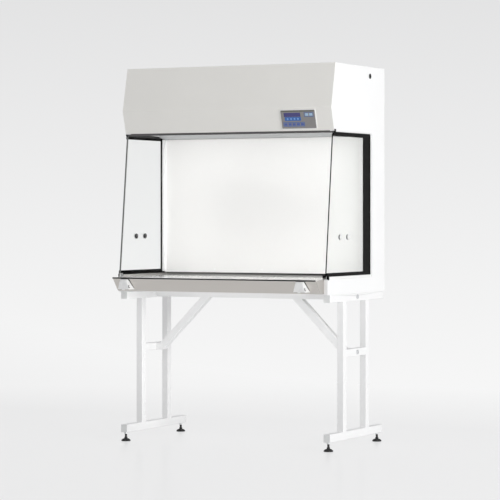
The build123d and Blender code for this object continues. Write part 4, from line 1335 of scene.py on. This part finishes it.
@dataclass
class Studio:
    """Camera, lamps, floor and backdrop.

    Attributes:
        eye: Place of the camera.
        yaw: Turn of the camera to the left of +Y, in degrees.
        lens: Focal length for a 36 mm wide sensor.
        drop: Vertical shift of the picture.
        floor_front: Front end of the floor.
        floor_back: Where the floor starts to rise, behind the hood.
        floor_lift: Share of the floor that keeps its own pale tone, clear of shadow.
        lift_start: Where that share starts to grow, as a share of floor_back.
        half_wide: Half the width of the floor.
        cove: Radius of the rise.
        cove_steps: Straight pieces in the rise.
        top: Height of the backdrop.
        fade: Height at which the backdrop has its upper tone.
        floor_colour: Base colour of the floor.
        low_tone: Tone of the backdrop at the floor.
        high_tone: Tone of the backdrop above.
        room: Colour of the surroundings.
        room_level: Strength of the surroundings.
        softbox: Place of the soft light on the right.
        softbox_aim: The point that it faces.
        softbox_size: Side of its square.
        softbox_power: Watts of it.
    """

    eye: Triple = (5.6797, -10.8927, 1.2347)
    yaw: float = 27.47
    lens: float = 164.0
    drop: float = -0.0742
    floor_front: float = -25.0
    floor_back: float = 4.0
    floor_lift: float = 0.60
    lift_start: float = 0.3
    half_wide: float = 30.0
    cove: float = 3.0
    cove_steps: int = 12
    top: float = 14.0
    fade: float = 3.6
    floor_colour: Colour = (0.90, 0.90, 0.905)
    low_tone: Colour = (0.922, 0.922, 0.922)
    high_tone: Colour = (0.745, 0.745, 0.75)
    room: Colour = (0.98, 0.985, 1.0)
    room_level: float = 0.55
    softbox: Triple = (9.4, -3.3, 2.05)
    softbox_aim: Triple = (0.0, 0.0, 1.1)
    softbox_size: float = 4.0
    softbox_power: float = 530.0

    def camera(self) -> None:
        """Set the camera level, with the picture shifted down."""
        data = bpy.data.cameras.new("camera")
        data.lens = self.lens
        data.sensor_width = 36.0
        data.shift_y = self.drop
        data.clip_end = 200.0
        shown = bpy.data.objects.new("camera", data)
        shown.location = self.eye
        shown.rotation_euler = (math.radians(90), 0, math.radians(self.yaw))
        bpy.context.scene.collection.objects.link(shown)
        bpy.context.scene.camera = shown

    def area_light(
        self, name: str, place: Triple, turn: Iterable[float], size: tuple[float, float], power: float
    ) -> bpy.types.Object:
        """Add a flat light.

        Args:
            name: Its name.
            place: Its middle.
            turn: Its Euler angles; at zero it shines down.
            size: Its width and height.
            power: Watts.

        Returns:
            The light's object.
        """
        data = bpy.data.lights.new(name, "AREA")
        data.shape = "RECTANGLE"
        data.size, data.size_y = size
        data.energy = power
        shown = bpy.data.objects.new(name, data)
        shown.location = place
        shown.rotation_euler = turn
        bpy.context.scene.collection.objects.link(shown)
        return shown

    def lights(self) -> None:
        """Soft light on the right, and the hidden strips in the chamber and under the hood."""
        ray = Vector(self.softbox_aim) - Vector(self.softbox)
        turn = ray.to_track_quat("-Z", "Y").to_euler()
        size = (self.softbox_size, self.softbox_size)
        self.area_light("right_softbox", self.softbox, turn, size, self.softbox_power)
        for strip in STRIPS:
            turn = (math.radians(strip.tilt), 0, 0)
            shown = self.area_light(strip.name, strip.place, turn, strip.size, strip.power)
            shown.visible_camera = False
            shown.visible_glossy = False
            shown.visible_transmission = strip.through_glass

    def world(self) -> None:
        """Even pale surroundings."""
        world = bpy.data.worlds.new("surroundings")
        world.use_nodes = True
        bpy.context.scene.world = world
        graph = Graph(world.node_tree)
        sky = {"Color": rgba(self.room), "Strength": self.room_level}
        light = graph.node("ShaderNodeBackground", {}, sky)
        output = graph.raw("ShaderNodeOutputWorld", {}, {})
        graph.tree.links.new(light.socket, output.inputs["Surface"])

    def backdrop_material(self) -> bpy.types.Material:
        """Pale floor that turns into an even backdrop, and is clear when seen from its back."""
        made = bpy.data.materials.new("studio_sweep")
        made.use_nodes = True
        graph = Graph(made.node_tree)
        _, y, z = graph.axes(graph.place())
        sheen = {"Base Color": rgba(self.floor_colour), "Roughness": 0.16, "Specular IOR Level": 0.12}
        floor = graph.node("ShaderNodeBsdfPrincipled", {}, sheen)
        tone = graph.remap(z, 0.0, self.fade, 0.0, 1.0)
        colour = graph.blend(tone, rgba(self.low_tone), rgba(self.high_tone))
        glow = graph.node("ShaderNodeEmission", {}, {"Color": colour, "Strength": 1.0})
        rays = graph.raw("ShaderNodeLightPath", {}, {})
        seen = Wire(graph, rays.outputs["Is Camera Ray"]) + Wire(graph, rays.outputs["Is Glossy Ray"])
        seen = seen + Wire(graph, rays.outputs["Is Transmission Ray"])
        near = self.floor_back * self.lift_start
        far = graph.remap(y, near, self.floor_back, self.floor_lift, 1.0)
        product = {"operation": "MULTIPLY", "use_clamp": True}
        factor = graph.node("ShaderNodeMath", product, {0: seen, 1: far})
        sheet = graph.node("ShaderNodeMixShader", {}, {0: factor, 1: floor, 2: glow})
        clear = graph.node("ShaderNodeBsdfTransparent", {}, {})
        behind = graph.node("ShaderNodeNewGeometry", {}, {}, "Backfacing")
        graph.surface(graph.node("ShaderNodeMixShader", {}, {0: behind, 1: sheet, 2: clear}))
        return made

    def sweep(self) -> None:
        """Floor and backdrop as one bent sheet."""
        bm = bmesh.new()
        path = [(self.floor_front, 0.0), (self.floor_back, 0.0)]
        for i in range(1, self.cove_steps + 1):
            turn = math.radians(90 * i / self.cove_steps)
            run = self.floor_back + self.cove * math.sin(turn)
            path.append((run, self.cove * (1 - math.cos(turn))))
        path.append((self.floor_back + self.cove, self.top))
        verts = [bm.verts.new((-self.half_wide, y, z)) for y, z in path]
        edges = [bm.edges.new(pair) for pair in zip(verts, verts[1:])]
        made = bmesh.ops.extrude_edge_only(bm, edges=edges)["geom"]
        fresh = [v for v in made if isinstance(v, bmesh.types.BMVert)]
        bmesh.ops.translate(bm, vec=(2 * self.half_wide, 0, 0), verts=fresh)
        turn = Matrix.Rotation(math.radians(self.yaw), 4, "Z")
        bmesh.ops.transform(bm, matrix=turn, verts=bm.verts)
        bm.normal_update()
        if sum(face.normal.z for face in bm.faces) < 0:
            bmesh.ops.reverse_faces(bm, faces=bm.faces)
        mesh = bpy.data.meshes.new("sweep")
        bm.to_mesh(mesh)
        bm.free()
        mesh.materials.append(self.backdrop_material())
        mesh.shade_smooth()
        shown = bpy.data.objects.new("sweep", mesh)
        bpy.context.scene.collection.objects.link(shown)

    def build(self) -> None:
        """Set the studio."""
        bpy.context.scene.view_settings.view_transform = "Standard"
        self.camera()
        self.world()
        self.sweep()
        self.lights()


def main() -> None:
    """Dress the hood and set the studio."""
    logging.basicConfig(level=logging.INFO)
    parts = (Cabinet(), SideWindows(), WorkZone(), FanUnit())
    fittings = (ControlPanel(), PowerSockets(), Stand())
    for group in (*parts, *fittings, Studio()):
        group.build()


if __name__ == "__main__":
    main()
